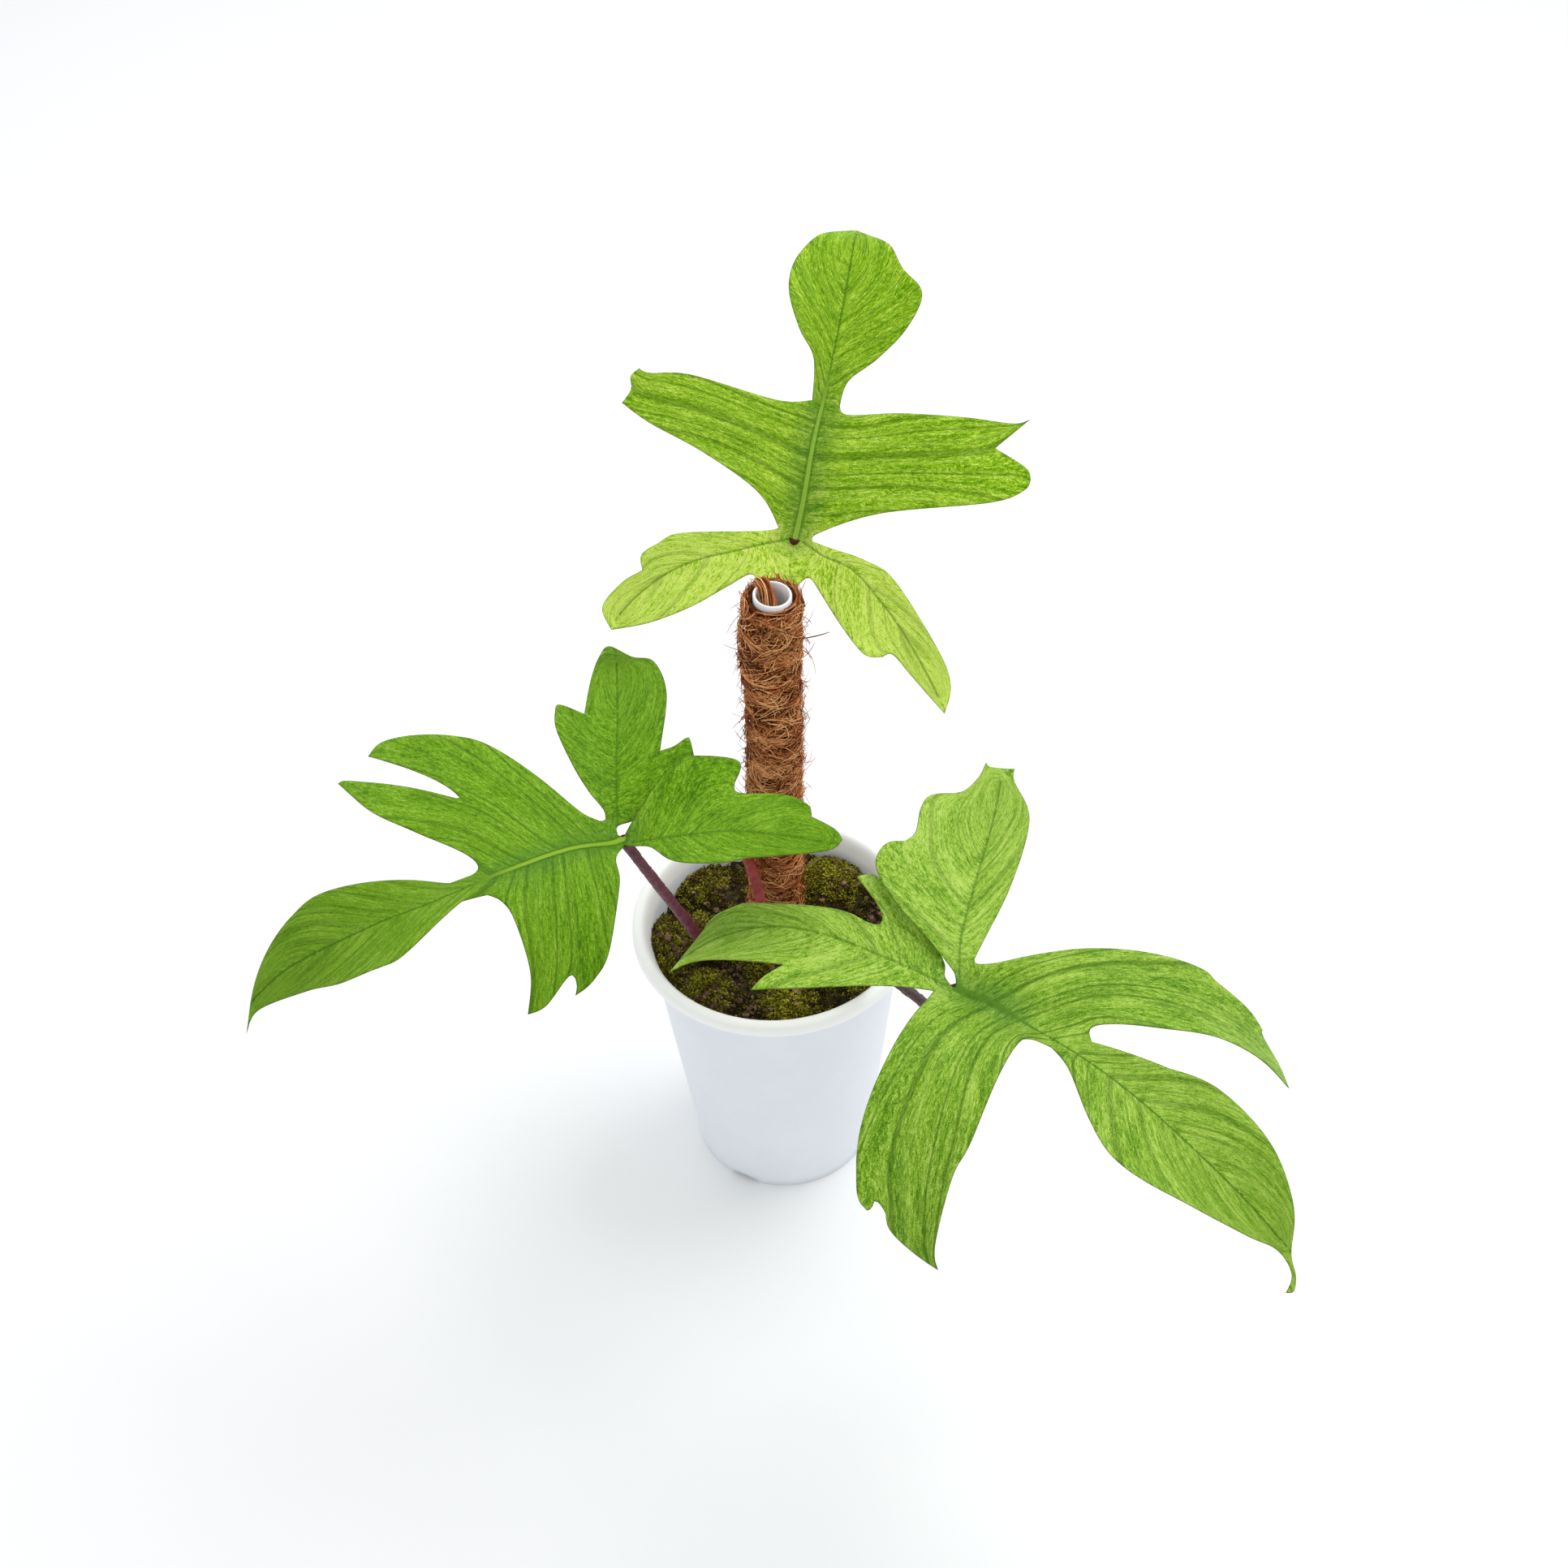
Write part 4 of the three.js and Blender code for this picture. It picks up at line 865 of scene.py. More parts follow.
def leaf_material(name, leaf, look, seed):
    n = Nodes(name)
    flat = n.value_of("flat", "Vector")
    x, y, field = n.split(flat)[:3]
    side = n.value_of("side")

    def streak(along, across, detail, rough):
        lane = n.times_plus(side, 1.7, n.times(field, across))
        where = n.join(n.times(x, along), n.times(y, along), lane)
        return n.noise(n.vector("ADD", where, (seed * 7.1, seed * 3.3, seed)), 1.0, detail, rough)

    fine = streak(0.5, 2.8, 4.0, 0.72)
    wide = streak(0.04, 0.2, 3.0, 0.6)
    thread = streak(0.09, 1.1, 2.0, 0.5)
    speckle = n.noise(n.join(x, y, field), 3.0, 2.0, 0.6)
    tone = n.times_plus(n.minus(wide, 0.5), look["bands"], 0.5)
    tone = n.times_plus(n.minus(fine, 0.5), look["fine"], tone)
    tone = n.times_plus(n.minus(thread, 0.5), 0.5, tone)
    tone = n.times_plus(n.minus(speckle, 0.5), 1.0, tone)
    # Lighter rear lobes and end lobe: partly each lobe's own tone, partly painted light.
    tone = n.plus(tone, n.band(x, *REAR_FADE, 0.0, look["rear"]))
    tone = n.plus(tone, n.band(x, *END_FADE, 0.0, look["end"]))
    waver = n.math("SINE", n.times_plus(field, VEIN_WAVER_RATE, float(seed)))
    lane = n.over(n.times_plus(waver, VEIN_WAVER, field), VEIN_STEP)
    vein = n.math("ABSOLUTE", n.minus(n.math("FRACT", lane), 0.5))
    vein_gap = n.over(n.times(vein, VEIN_STEP), n.value_of("slope"))
    # Painted light on the pleats: the tone is lifted near each vein.
    tone = n.plus(tone, n.times(n.band(vein_gap, 0.4, 2.2, 1.0, 0.0), 0.05))
    dark, middle, light, pale = look["tones"]
    color = n.ramp(tone, [(0.26, dark), (0.45, middle), (0.60, light), (0.82, pale)])
    on_rear = n.band(x, *REAR_FADE)
    shown = n.times(n.band(x, *END_FADE, 1.0, 0.6), n.band(n.value_of("tip_gap"), 6, 20))
    shown = n.times(shown, n.times_plus(on_rear, -0.45, 1.0))
    # The dark vein line is painted shade in each vein's groove.
    line = n.times(n.band(vein_gap, 0.2, 0.8, look["veins"], 0.0), shown)
    groove_shade = tuple(0.72 * part for part in dark)
    color = n.mix(line, color, groove_shade)
    # A pale streak just beside each vein is a painted highlight on the pleat.
    pleat_highlight_gap = n.math("ABSOLUTE", n.minus(vein_gap, 1.7))
    color = n.mix(n.times(n.band(pleat_highlight_gap, 0.2, 0.9, 0.12, 0.0), shown), color, pale)
    rib_dark = n.times(n.band(n.value_of("rib_gap"), 0.15, 0.6, 0.8, 0.0),
                      n.times_plus(on_rear, -0.3, 1.0))
    color = n.mix(rib_dark, color, dark)
    strength, reach = leaf["pale_rib"]
    half_width = n.times_plus(n.value_of("midrib_run"), -0.0075, leaf["rib_width"][0] / 2)
    across = n.over(n.value_of("midrib_gap"), n.math("MAXIMUM", half_width, 0.3))
    ahead = n.band(n.value_of("midrib_run"), reach - 25, reach, 1.0, 0.0)
    shade = n.times(n.band(n.value_of("midrib_gap"), 1.0, 12.0, 0.4, 0.0), ahead)
    color = n.mix(shade, color, (0.040, 0.155, 0.026))
    # Painted shade in narrow lines either side of the raised midrib.
    midrib_side_shade = n.times(n.band(across, 1.0, 2.6, 0.7, 0.0), ahead)
    color = n.mix(midrib_side_shade, color, dark)
    color = n.mix(n.times(n.band(across, 0.75, 1.1, strength, 0.0), ahead), color, look["rib"])
    color = n.mix(n.band(n.value_of("edge_gap"), 0.08, 0.4, 0.4, 0.0), color, (0.12, 0.10, 0.03))
    under = n.mix(0.35, color, (0.30, 0.42, 0.18))
    color = n.mix(n.value_of("upper"), under, color)
    n.set(color=color, specular=0.13)
    n.put(n.shader.inputs["Roughness"], n.band(fine, 0.3, 0.7, 0.42, 0.55))
    ripples = n.times_plus(thread, 0.8, n.times(fine, 0.5))
    n.set(normal=n.bump(ripples, 0.45, 0.9))
    glow = n.add("ShaderNodeBsdfTranslucent", {"Color": n.mix(0.6, color, (0.26, 0.52, 0.002))})
    blend = n.add("ShaderNodeMixShader", {0: 0.12, 1: n.shader.outputs[0], 2: glow.outputs[0]})
    n.put(n.output.inputs["Surface"], blend.outputs[0])
    return n.material


# Stalks.
def stalk_route(curve_points, leaf, is_bezier):
    """The solid's route: straight out of the soil, then the curve up to under the blade."""
    if is_bezier:
        samples = bezier(curve_points, 17)
    else:
        dense = round_spline(curve_points, 64)
        samples = dense[np.linspace(0, len(dense) - 1, 17).round().astype(int)]
    start = unit(samples[1] - samples[0])
    samples[-1] -= leaf_axes(leaf)[2] * 0.3
    return round_spline(np.vstack([samples[0] - start * STALK_BURIED, samples]), 16)


def frames_along(line):
    """Two directions across a line that turn as little as they can from point to point."""
    tangent = unit(np.gradient(line, axis=0))
    side = np.cross(tangent[0], [0.0, 0.0, 1.0])
    side = unit(side) if np.linalg.norm(side) > 0.05 else np.array([1.0, 0, 0])
    sides = []
    for t in tangent:
        side = unit(side - t * (side @ t))
        sides.append(side)
    sides = np.array(sides)
    return sides, np.cross(tangent, sides)


def stalk(name, route, material, seed, pebbles):
    line = evenly(route, 0.6)
    a, b = frames_along(line)
    share = np.linspace(0, 1, len(line))
    radius = STALK_FOOT_RADIUS + (STALK_TIP_RADIUS - STALK_FOOT_RADIUS) * share
    radius = radius + 0.5 * np.clip((share - 0.965) / 0.035, 0, 1) ** 2
    sides = STALK_SIDES
    angles = round_angles(sides)
    rng = np.random.default_rng(seed)
    rough = softened(rng.normal(0, 1, (len(line), sides)), 2)
    spread = radius[:, None] * (1 - 0.05 * np.cos(2 * angles)[None]) + pebbles * rough
    points = line[:, None] + a[:, None] * (np.cos(angles)[None] * spread)[..., None] \
        + b[:, None] * (np.sin(angles)[None] * spread)[..., None]
    points = np.vstack([points.reshape(-1, 3), line[:1], line[-1:]])
    faces = grid_faces(len(line), sides)
    last = (len(line) - 1) * sides
    foot, tip = len(points) - 2, len(points) - 1
    k = np.arange(sides)
    caps = [np.stack([np.full(sides, foot), (k + 1) % sides, k], 1),
            np.stack([np.full(sides, tip), last + k, last + (k + 1) % sides], 1)]
    quads = np.vstack([faces[:, [0, 1, 2]], faces[:, [0, 2, 3]], *caps])
    values = {"share": np.r_[np.repeat(share, sides), 0, 1], "rough": np.r_[rough.ravel(), 0, 0]}
    return piece(name.replace("stalk_", "stem_"), points, quads, material, node=name, values=values)


# Each stalk's dark and light tones, and the colour of its pebbles.
STALK_LOOKS = {
    "stalk_maroon": ((0.060, 0.010, 0.020), (0.175, 0.035, 0.060), (0.34, 0.17, 0.17)),
    "stalk_brown": ((0.045, 0.022, 0.026), (0.15, 0.085, 0.085), (0.32, 0.24, 0.22)),
    "stalk_red": ((0.19, 0.020, 0.018), (0.36, 0.060, 0.045), (0.55, 0.22, 0.16)),
}


def stalk_material(name, dark, light, tip):
    n = Nodes(name)
    place = n.place()
    spots = n.noise(place, 900, 4.0, 0.65)
    patches = n.noise(place, 140, 2.0, 0.5)
    tone = n.plus(n.times(spots, 0.6), n.times(patches, 0.4))
    color = n.ramp(tone, [(0.38, dark), (0.62, light)])
    color = n.mix(n.band(n.value_of("rough"), 0.3, 1.2, 0.0, 0.4), color, tip)
    color = n.mix(n.band(n.value_of("share"), 0.985, 0.995, 0.0, 0.85), color, (0.035, 0.008, 0.006))
    n.set(color=color, roughness=0.5, specular=0.25, normal=n.bump(spots, 0.25, 0.7))
    return n.material


# Pole axes: across, across and along, as rows.
POLE_UP = unit(POLE_TOP - POLE_FOOT)
POLE_LENGTH = float(np.linalg.norm(POLE_TOP - POLE_FOOT))
COIR_TOP = POLE_LENGTH - COIR_SHORT_OF_TUBE


def pole_axes():
    """The same turn that takes +Z to the pole's own axis in the solid."""
    turn = Vector((0, 0, 1)).rotation_difference(Vector(POLE_UP)).to_matrix()
    return np.array(turn).T


POLE_AXES = pole_axes()


def on_pole(radius, angle, height):
    """Places round the pole's axis, height being counted from its foot."""
    local = np.stack([radius * np.cos(angle), radius * np.sin(angle), height], -1)
    return POLE_FOOT + local @ POLE_AXES


def bulge(angle, height):
    rise = np.exp(-(((height - COIR_BULGE_HEIGHT) / COIR_BULGE_REACH) ** 2))
    return COIR_BULGE * rise * np.maximum(0, np.cos(angle - math.radians(COIR_BULGE_ANGLE)))


def fibres(name, lines, widths, tones, material, node=None, normals=None):
    """Three-sided hairs along many lines of as many points each."""
    count, steps = lines.shape[:2]
    tangent = unit(np.gradient(lines, axis=1))
    across = unit(np.cross(tangent, normals if normals is not None else np.array([0.3, 0.2, 1.0])))
    up = np.cross(across, tangent)
    taper = np.sin(np.linspace(0.12, 1, steps) * np.pi * 0.94) ** 0.5
    half = widths[:, None] / 2 * taper
    corners = []
    for k in range(3):
        angle = 2 * math.pi * k / 3 + math.pi / 6
        offset = across * math.cos(angle) + up * math.sin(angle)
        corners.append(lines + offset * half[..., None])
    points = np.stack(corners, 2).reshape(-1, 3)
    i, j, k = np.meshgrid(np.arange(count), np.arange(steps - 1), np.arange(3), indexing="ij")
    base = (i * steps + j) * 3
    a, b = base + k, base + (k + 1) % 3
    faces = np.stack([a, b, b + 3, a + 3], -1).reshape(-1, 4)
    tone = np.repeat(tones, steps * 3)
    along = np.tile(np.repeat(np.linspace(0, 1, steps), 3), count)
    return piece(name, points, faces, material, node, values={"tone": tone, "along": along})


def coir_core(material):
    """The matted inside of the sleeve, closed over the tube's top edge. It carries no tone, so the coir
    colour runs dark there: painted shade in the gaps between the clumps.
    """
    heights = np.arange(0, COIR_TOP + 0.1, 1.2)
    angles = round_angles(72)
    h, a = np.meshgrid(heights, angles, indexing="ij")
    rng = np.random.default_rng(21)
    rough = softened(rng.normal(0, 1, h.shape), 3)
    wraps = 0.3 * np.sin(2 * np.pi * h / COIR_PITCH + a) + 0.2 * np.sin(3 * np.pi * h / COIR_PITCH - 3 * a)
    radius = COIR_RADIUS - 2.3 + wraps + bulge(a, h) + 1.2 * rough
    radius[heights < COIR_FROM - 4] = COIR_RADIUS - 0.6
    bore = TUBE_RADIUS + 0.2
    rows = [on_pole(np.full(len(angles), bore), angles, np.zeros(len(angles)))]
    rows += list(on_pole(radius, a, h))
    for r, rise in ((COIR_RADIUS - 1.6, 0.9), (COIR_RADIUS - 2.8, 1.2), (bore, 0.6), (bore, -8)):
        rows.append(on_pole(np.full(len(angles), r), angles, np.full(len(angles), heights[-1] + rise)))
    rows.append(rows[0].copy())
    points = np.vstack(rows)
    return piece("coir_core", points, grid_faces(len(rows), len(angles)), material, "coir_sleeve")


def wrapped_lines(rng, steps, low, high, lengths, slant, curl, lift):
    """Clumps of strands that lie round the pole, each clump with its own slant, curl and tone."""
    clumps, strands = COIR_CLUMPS, COIR_CLUMP_STRANDS
    count = clumps * strands

    def each(values, jitter):
        return np.repeat(values, strands) + rng.normal(0, jitter, count)

    start_angle = each(rng.uniform(0, 2 * np.pi, clumps), 0.22)
    start_height = each(rng.uniform(low, high, clumps), 1.5)
    length = each(rng.uniform(*lengths, clumps), 2.0)
    tilt = each(rng.normal(0.05, slant, clumps), 0.22)
    bend = each(rng.normal(0, curl, clumps), 0.4)
    depth = each(rng.uniform(-1.9, -0.5, clumps), 0.3)[:, None]
    t = np.linspace(0, 1, steps)
    heading = tilt[:, None] + bend[:, None] * (t - 0.5)
    step = length[:, None] / (steps - 1)
    angle = start_angle[:, None] + np.cumsum(np.cos(heading) * step, 1) / COIR_RADIUS
    height = start_height[:, None] + np.cumsum(np.sin(heading) * step, 1)
    height = np.clip(height, low - 4, COIR_TOP + 1.4)
    over = np.clip((height - (COIR_TOP - 1.5)) / 2.9, 0, 1)
    loose = lift * rng.random(count)[:, None] ** 3 * np.abs(2 * t - 0.8) ** 2
    arch = 0.5 * np.sin(np.pi * t) - 0.35
    wraps = 0.45 * np.sin(2 * np.pi * height / COIR_PITCH + angle)
    radius = COIR_RADIUS + np.clip(depth, -2.2, -0.1) + arch + loose + wraps - 0.9 * over**2
    radius = radius + COIR_BULGE_SHOWN * bulge(angle, height)
    lines = on_pole(radius, angle, height)
    # Clumps that lie deeper get a darker tone: painted shade in the recesses.
    tones = np.clip(each(rng.uniform(0.1, 0.9, clumps), 0.22) + 0.25 * (depth[:, 0] + 1), 0, 1)
    return lines, on_pole(radius + 1, angle, height) - lines, tones


def hair_lines(rng, count, steps, low, high):
    """Loose hairs that leave the pole and curl in the air."""
    start = rng.uniform(0, 2 * np.pi, count)
    height = rng.uniform(low, high, count)
    length = rng.uniform(3, 10, count) * np.where(rng.random(count) < 0.1, 1.7, 1)
    out = rng.uniform(0.1, 1.0, count) ** 1.5
    tilt = rng.normal(0.1, 0.8, count)
    curl = rng.normal(0, 1.4, count)
    t = np.linspace(0, 1, steps)
    heading = tilt[:, None] + curl[:, None] * t
    run = length[:, None] * t
    around = np.cumsum(np.cos(heading) * length[:, None] / steps, 1) * (1 - 0.7 * out[:, None])
    radius = COIR_RADIUS - 1.2 + out[:, None] * run * (1 - 0.35 * t)
    angle = start[:, None] + around / COIR_RADIUS * rng.choice([-1, 1], count)[:, None]
    rise = np.cumsum(np.sin(heading) * length[:, None] / steps, 1)
    return on_pole(radius + bulge(angle, height[:, None]), angle, height[:, None] + rise)


def collar_lines(rng, count, steps):
    """Fibres that stand up round the tube's end, low at the front."""
    angle = rng.uniform(0, 2 * np.pi, count)
    lean = rng.normal(0, 0.35, count)
    t = np.linspace(0, 1, steps)
    turn = angle[:, None] + lean[:, None] * t
    reach = 1 + 4.2 * eased((np.sin(turn + 0.2) + 0.75) / 1.1)
    height = COIR_TOP - 2.5 + (reach + 1.5) * t * rng.uniform(0.5, 1.05, (count, 1))
    radius = 10.4 - 1.6 * np.sin(np.pi * t / 2) + rng.uniform(-0.4, 1.1, (count, 1)) * (1 + 0.4 * t)
    return on_pole(np.maximum(radius, TUBE_RADIUS + 0.35), turn, height)


def long_hair():
    """The one long stray hair on the pole's right."""
    t = np.linspace(0, 1, 9)
    angle = LONG_HAIR_TURN * t + LONG_HAIR_ANGLE
    return on_pole(LONG_HAIR_FOOT + LONG_HAIR_REACH * t, angle, LONG_HAIR_HEIGHT + t + 0.6 * t**2)


def coir(material):
    coir_core(material)
    rng = np.random.default_rng(5)
    for index, (low, high) in enumerate(((COIR_FROM, 205), (197, COIR_TOP + 0.8))):
        lines, out, tones = wrapped_lines(rng, 7, low, high, (5, 17), 0.5, 1.9, 2.2)
        widths = rng.uniform(0.18, 0.44, len(lines))
        fibres(f"coir_wraps_{index + 1}", lines, widths, tones, material, normals=out)
    lines = hair_lines(rng, COIR_HAIRS, 9, COIR_FROM + 4, COIR_TOP - 1)
    widths = rng.uniform(0.15, 0.3, len(lines))
    fibres("coir_hairs", lines, widths, rng.random(len(lines)) * 0.55, material)
    fibres("coir_long_hair", long_hair()[None], np.array([0.55]), np.array([0.2]), material)
    lines = collar_lines(rng, COLLAR_FIBRES, 6)
    widths = rng.uniform(0.18, 0.42, len(lines))
    fibres("coir_collar", lines, widths, rng.random(len(lines)), material)


def coir_twist(material):
    """The bundle of fibres folded over the tube's rim into its bore."""
    rim = TUBE_RADIUS - TUBE_WALL / 2
    outside, inner = rim + TWIST_CREST, rim - TWIST_CREST
    diagonal = TWIST_CREST * math.sqrt(0.5)
    sag = TWIST_SAG
    route = [
        (outside - 0.3, 0, -14), (outside, 0, -5), (outside, 0, -sag), (rim + diagonal, 0, diagonal - sag),
        (rim, 0, TWIST_CREST - sag), (rim - diagonal, 0, diagonal - sag), (inner - 0.8, 0, -0.6 - sag),
        (inner - 3.2, 0.6, -3.5 - sag), (inner - 5, 1.4, -11),
    ]
    middle = evenly(round_spline(route, 12), 1.4)
    a, b = frames_along(middle)
    rng = np.random.default_rng(9)
    count = TWIST_FIBRES
    t = np.linspace(0, 1, len(middle))
    swell = 1 + 0.3 * np.sin(7 * t + rng.uniform(0, 6, (count, 1))) * rng.random((count, 1))
    stray = np.where(rng.random(count) < 0.25, 1.6, 1.0)
    ring = 1.7 * (np.sqrt(rng.random(count)) * stray)[:, None] * swell
    phase = rng.uniform(0, 2 * np.pi, (count, 1)) + 3.2 * t[None]
    phase = phase + 0.35 * np.sin(4 * t[None] + rng.uniform(0, 6, (count, 1)))
    local = middle[None] + a[None] * (ring * np.cos(phase))[..., None]
    local = local + b[None] * (ring * np.sin(phase))[..., None]
    turn = math.radians(TWIST_ANGLE)
    x = local[..., 0] * math.cos(turn) - local[..., 1] * math.sin(turn)
    y = local[..., 0] * math.sin(turn) + local[..., 1] * math.cos(turn)
    lines = POLE_FOOT + np.stack([x, y, local[..., 2] + POLE_LENGTH], -1) @ POLE_AXES
    widths = rng.uniform(0.3, 0.55, count)
    fibres("coir_twist", lines, widths, rng.random(count), material)


def coir_material():
    n = Nodes("coir")
    place = n.place()
    tone = n.plus(n.times(n.value_of("tone"), 0.8),
                  n.times(n.noise(place, 260, 3.0, 0.6), 0.4))
    color = n.ramp(tone, [(0.15, (0.030, 0.007, 0.002)), (0.38, (0.26, 0.068, 0.018)),
                          (0.62, (0.68, 0.23, 0.072)), (0.88, (1.0, 0.55, 0.24))])
    n.set(color=color, roughness=0.7, specular=0.08)
    n.set(normal=n.bump(n.noise(place, 1400, 2.0, 0.5), 0.15, 0.5))
    return n.material


# White tube.
def tube(material):
    """The tube, slightly oval towards its end."""
    angles = round_angles(TUBE_SIDES)
    bore = TUBE_RADIUS - TUBE_WALL
    heights = (0, 60, POLE_LENGTH - 12, POLE_LENGTH - 4, POLE_LENGTH - 0.35)
    profile = [(TUBE_RADIUS, height) for height in heights]
    profile += [(TUBE_RADIUS - 0.3, POLE_LENGTH), (bore + 0.3, POLE_LENGTH)]
    profile += [(bore, height) for height in reversed(heights)]
    rows = []
    for radius, height in profile:
        squeeze = np.clip((height - (POLE_LENGTH - 14)) / 14, 0, 1)
        oval = 1 - 0.035 * squeeze * np.cos(2 * (angles - 0.4))
        rows.append(on_pole(radius * oval, angles, np.full(TUBE_SIDES, float(height))))
    rows.append(rows[0].copy())
    faces = grid_faces(len(rows), TUBE_SIDES)
    return piece("tube", np.vstack(rows), faces, material, "pole_tube")


# Moss.
def moss_relief():
    draw = seeded(SOIL_SEED)
    cushions = []
    for _ in range(MOSS_CUSHIONS):
        distance = pot_inside(MOSS_Z) * math.sqrt(next(draw))
        angle = 2 * math.pi * next(draw)
        radius = MOSS_CUSHION_RADIUS * (0.6 + 0.6 * next(draw))
        height = MOSS_CUSHION * (0.4 + 0.6 * next(draw))
        cushions.append((distance * math.cos(angle), distance * math.sin(angle), radius, height))

    def relief(x, y):
        highest = np.zeros(np.shape(x))
        for cx, cy, radius, height in cushions:
            spread = np.hypot(x - cx, y - cy) / radius
            highest = np.maximum(highest, height * (1 - spread**2))
        return highest

    return relief


def moss_height(relief, x, y):
    """Cushions and mounds with a lumpy top."""
    lumps = np.sin(x * 0.9 + 1.7 * np.sin(y * 0.6)) * np.sin(y * 0.8 + 1.3 * np.sin(x * 0.5))
    fine = np.sin(x * 2.3 + 2 * np.sin(y * 1.9)) * np.sin(y * 2.6 + 2 * np.sin(x * 1.7))
    mounds = np.zeros(np.shape(x))
    for cx, cy, radius, height, _ in MOUNDS:
        mounds = np.maximum(mounds, height * (1 - np.hypot(x - cx, y - cy) ** 2 / radius**2))
    return MOSS_Z + np.maximum(relief(x, y) - 1.0, mounds) + 0.9 * lumps + 0.4 * fine


def moss_glow(x, y):
    """How bright the moss is, from the mound that it grows on."""
    glow = np.zeros(np.shape(x))
    for cx, cy, radius, _, bright in MOUNDS:
        glow = np.maximum(glow, bright * eased(1.25 - np.hypot(x - cx, y - cy) / radius))
    return glow


def moss_bed(relief, material):
    """The soil's body: its lumpy top, a skirt just inside the pot and a flat foot."""
    sides = MOSS_SIDES
    r = MOSS_EDGE * np.linspace(0, 1, MOSS_RINGS) ** 0.8
    rr, aa = np.meshgrid(r[1:], round_angles(sides), indexing="ij")
    x, y = rr * np.cos(aa), rr * np.sin(aa)
    top = np.stack([x, y, moss_height(relief, x, y)], -1)

    def lower_ring(share, z):
        return np.stack([x[-1] * share, y[-1] * share, np.full(sides, z)], -1)

    skirt = lower_ring(MOSS_SKIRT_SHARE, MOSS_Z - MOSS_SKIRT_DROP)
    foot = lower_ring(MOSS_FOOT_SHARE, MOSS_FOOT_Z)
    peak = [[0, 0, moss_height(relief, 0.0, 0.0)]]
    points = np.vstack([peak, top.reshape(-1, 3), skirt, foot, [[0, 0, MOSS_FOOT_Z]]])
    k = np.arange(sides)
    quads = grid_faces(len(r) + 1, sides) + 1
    middle = np.stack([np.zeros(sides, int), 1 + k, 1 + (k + 1) % sides], 1)
    base = 1 + len(r) * sides
    floor = np.stack([np.full(sides, len(points) - 1), base + (k + 1) % sides, base + k], 1)
    faces = np.vstack([middle, quads[:, [0, 3, 2]], quads[:, [0, 2, 1]], floor])
    piece("moss_bed", points, faces, material, "soil")


def moss(material, tuft_material, crumb_material):
    relief = moss_relief()
    moss_bed(relief, material)
    rng = np.random.default_rng(13)
    x, y = scattered(rng, MOSS_EDGE - 0.6, TUFTS)
    thick = (moss_height(relief, x, y) - MOSS_Z - 0.6) / MOSS_CUSHION
    patch = np.sin(x * 0.21 + 2) * np.sin(y * 0.27 + 1) + 0.6 * np.sin(x * 0.55) * np.sin(y * 0.6 + 2)
    keep = rng.random(TUFTS) < np.clip(0.1 + 0.8 * thick + 0.25 * patch, 0, 1)
    x, y = x[keep], y[keep]
    away = np.linalg.norm(np.stack([x, y], 1) - POLE_IN_MOSS, axis=1) > COIR_RADIUS
    x, y = x[away], y[away]
    z = moss_height(relief, x, y)
    # Tufts low in the hollows are darkened: painted shade.
    hollow_shade = MOSS_HOLLOW_SHADE * eased((z - MOSS_Z - 0.5) / 4) - MOSS_HOLLOW_SHADE
    tufts(np.stack([x, y, z], 1), moss_glow(x, y), hollow_shade, rng, tuft_material)
    crumbs(relief, rng, crumb_material)


def tufts(places, glow, hollow_shade, rng, material):
    """Stars of narrow pointed leaflets, one at each place."""
    leaflets = TUFT_LEAFLETS
    count = len(places)
    turn = rng.uniform(0, 2 * np.pi, (count, 1)) + np.arange(leaflets) * 2 * np.pi / leaflets
    turn = turn + rng.normal(0, 0.25, turn.shape)
    rise = rng.uniform(0.35, 1.2, turn.shape)
    length = rng.uniform(0.9, 2.3, turn.shape) * (1 + 0.45 * glow[:, None])
    half = (length * 0.16)[..., None]
    out = np.stack([np.cos(turn) * np.cos(rise), np.sin(turn) * np.cos(rise), np.sin(rise)], -1)
    across = np.stack([-np.sin(turn), np.cos(turn), np.zeros_like(turn)], -1)
    droop = np.array([0, 0, -0.25]) * length[..., None]
    root = np.broadcast_to(places[:, None] - [0, 0, 0.3], out.shape)
    middle = root + out * length[..., None] * 0.5
    tip = root + out * length[..., None] + droop
    lift = np.array([0, 0, 0.08])
    points = np.stack([root, middle - across * half, middle + across * half + lift, tip], 2)
    base = np.arange(count * leaflets)[:, None] * 4
    faces = (base[:, :, None] + np.array([[0, 1, 2], [1, 3, 2]])).reshape(-1, 3)
    # Each tuft's tone, darkened in the hollows by painted shade.
    tone = np.repeat(rng.random(count) ** 1.6 + hollow_shade, leaflets * 4)
    glow = np.repeat(glow, leaflets * 4)
    tipward = np.tile([0.0, 0.5, 0.5, 1.0], count * leaflets)
    values = {"tone": tone, "glow": glow, "tipward": tipward}
    points = points.reshape(-1, 3)
    piece("moss_tufts", points, faces, material, values=values, smooth=False)


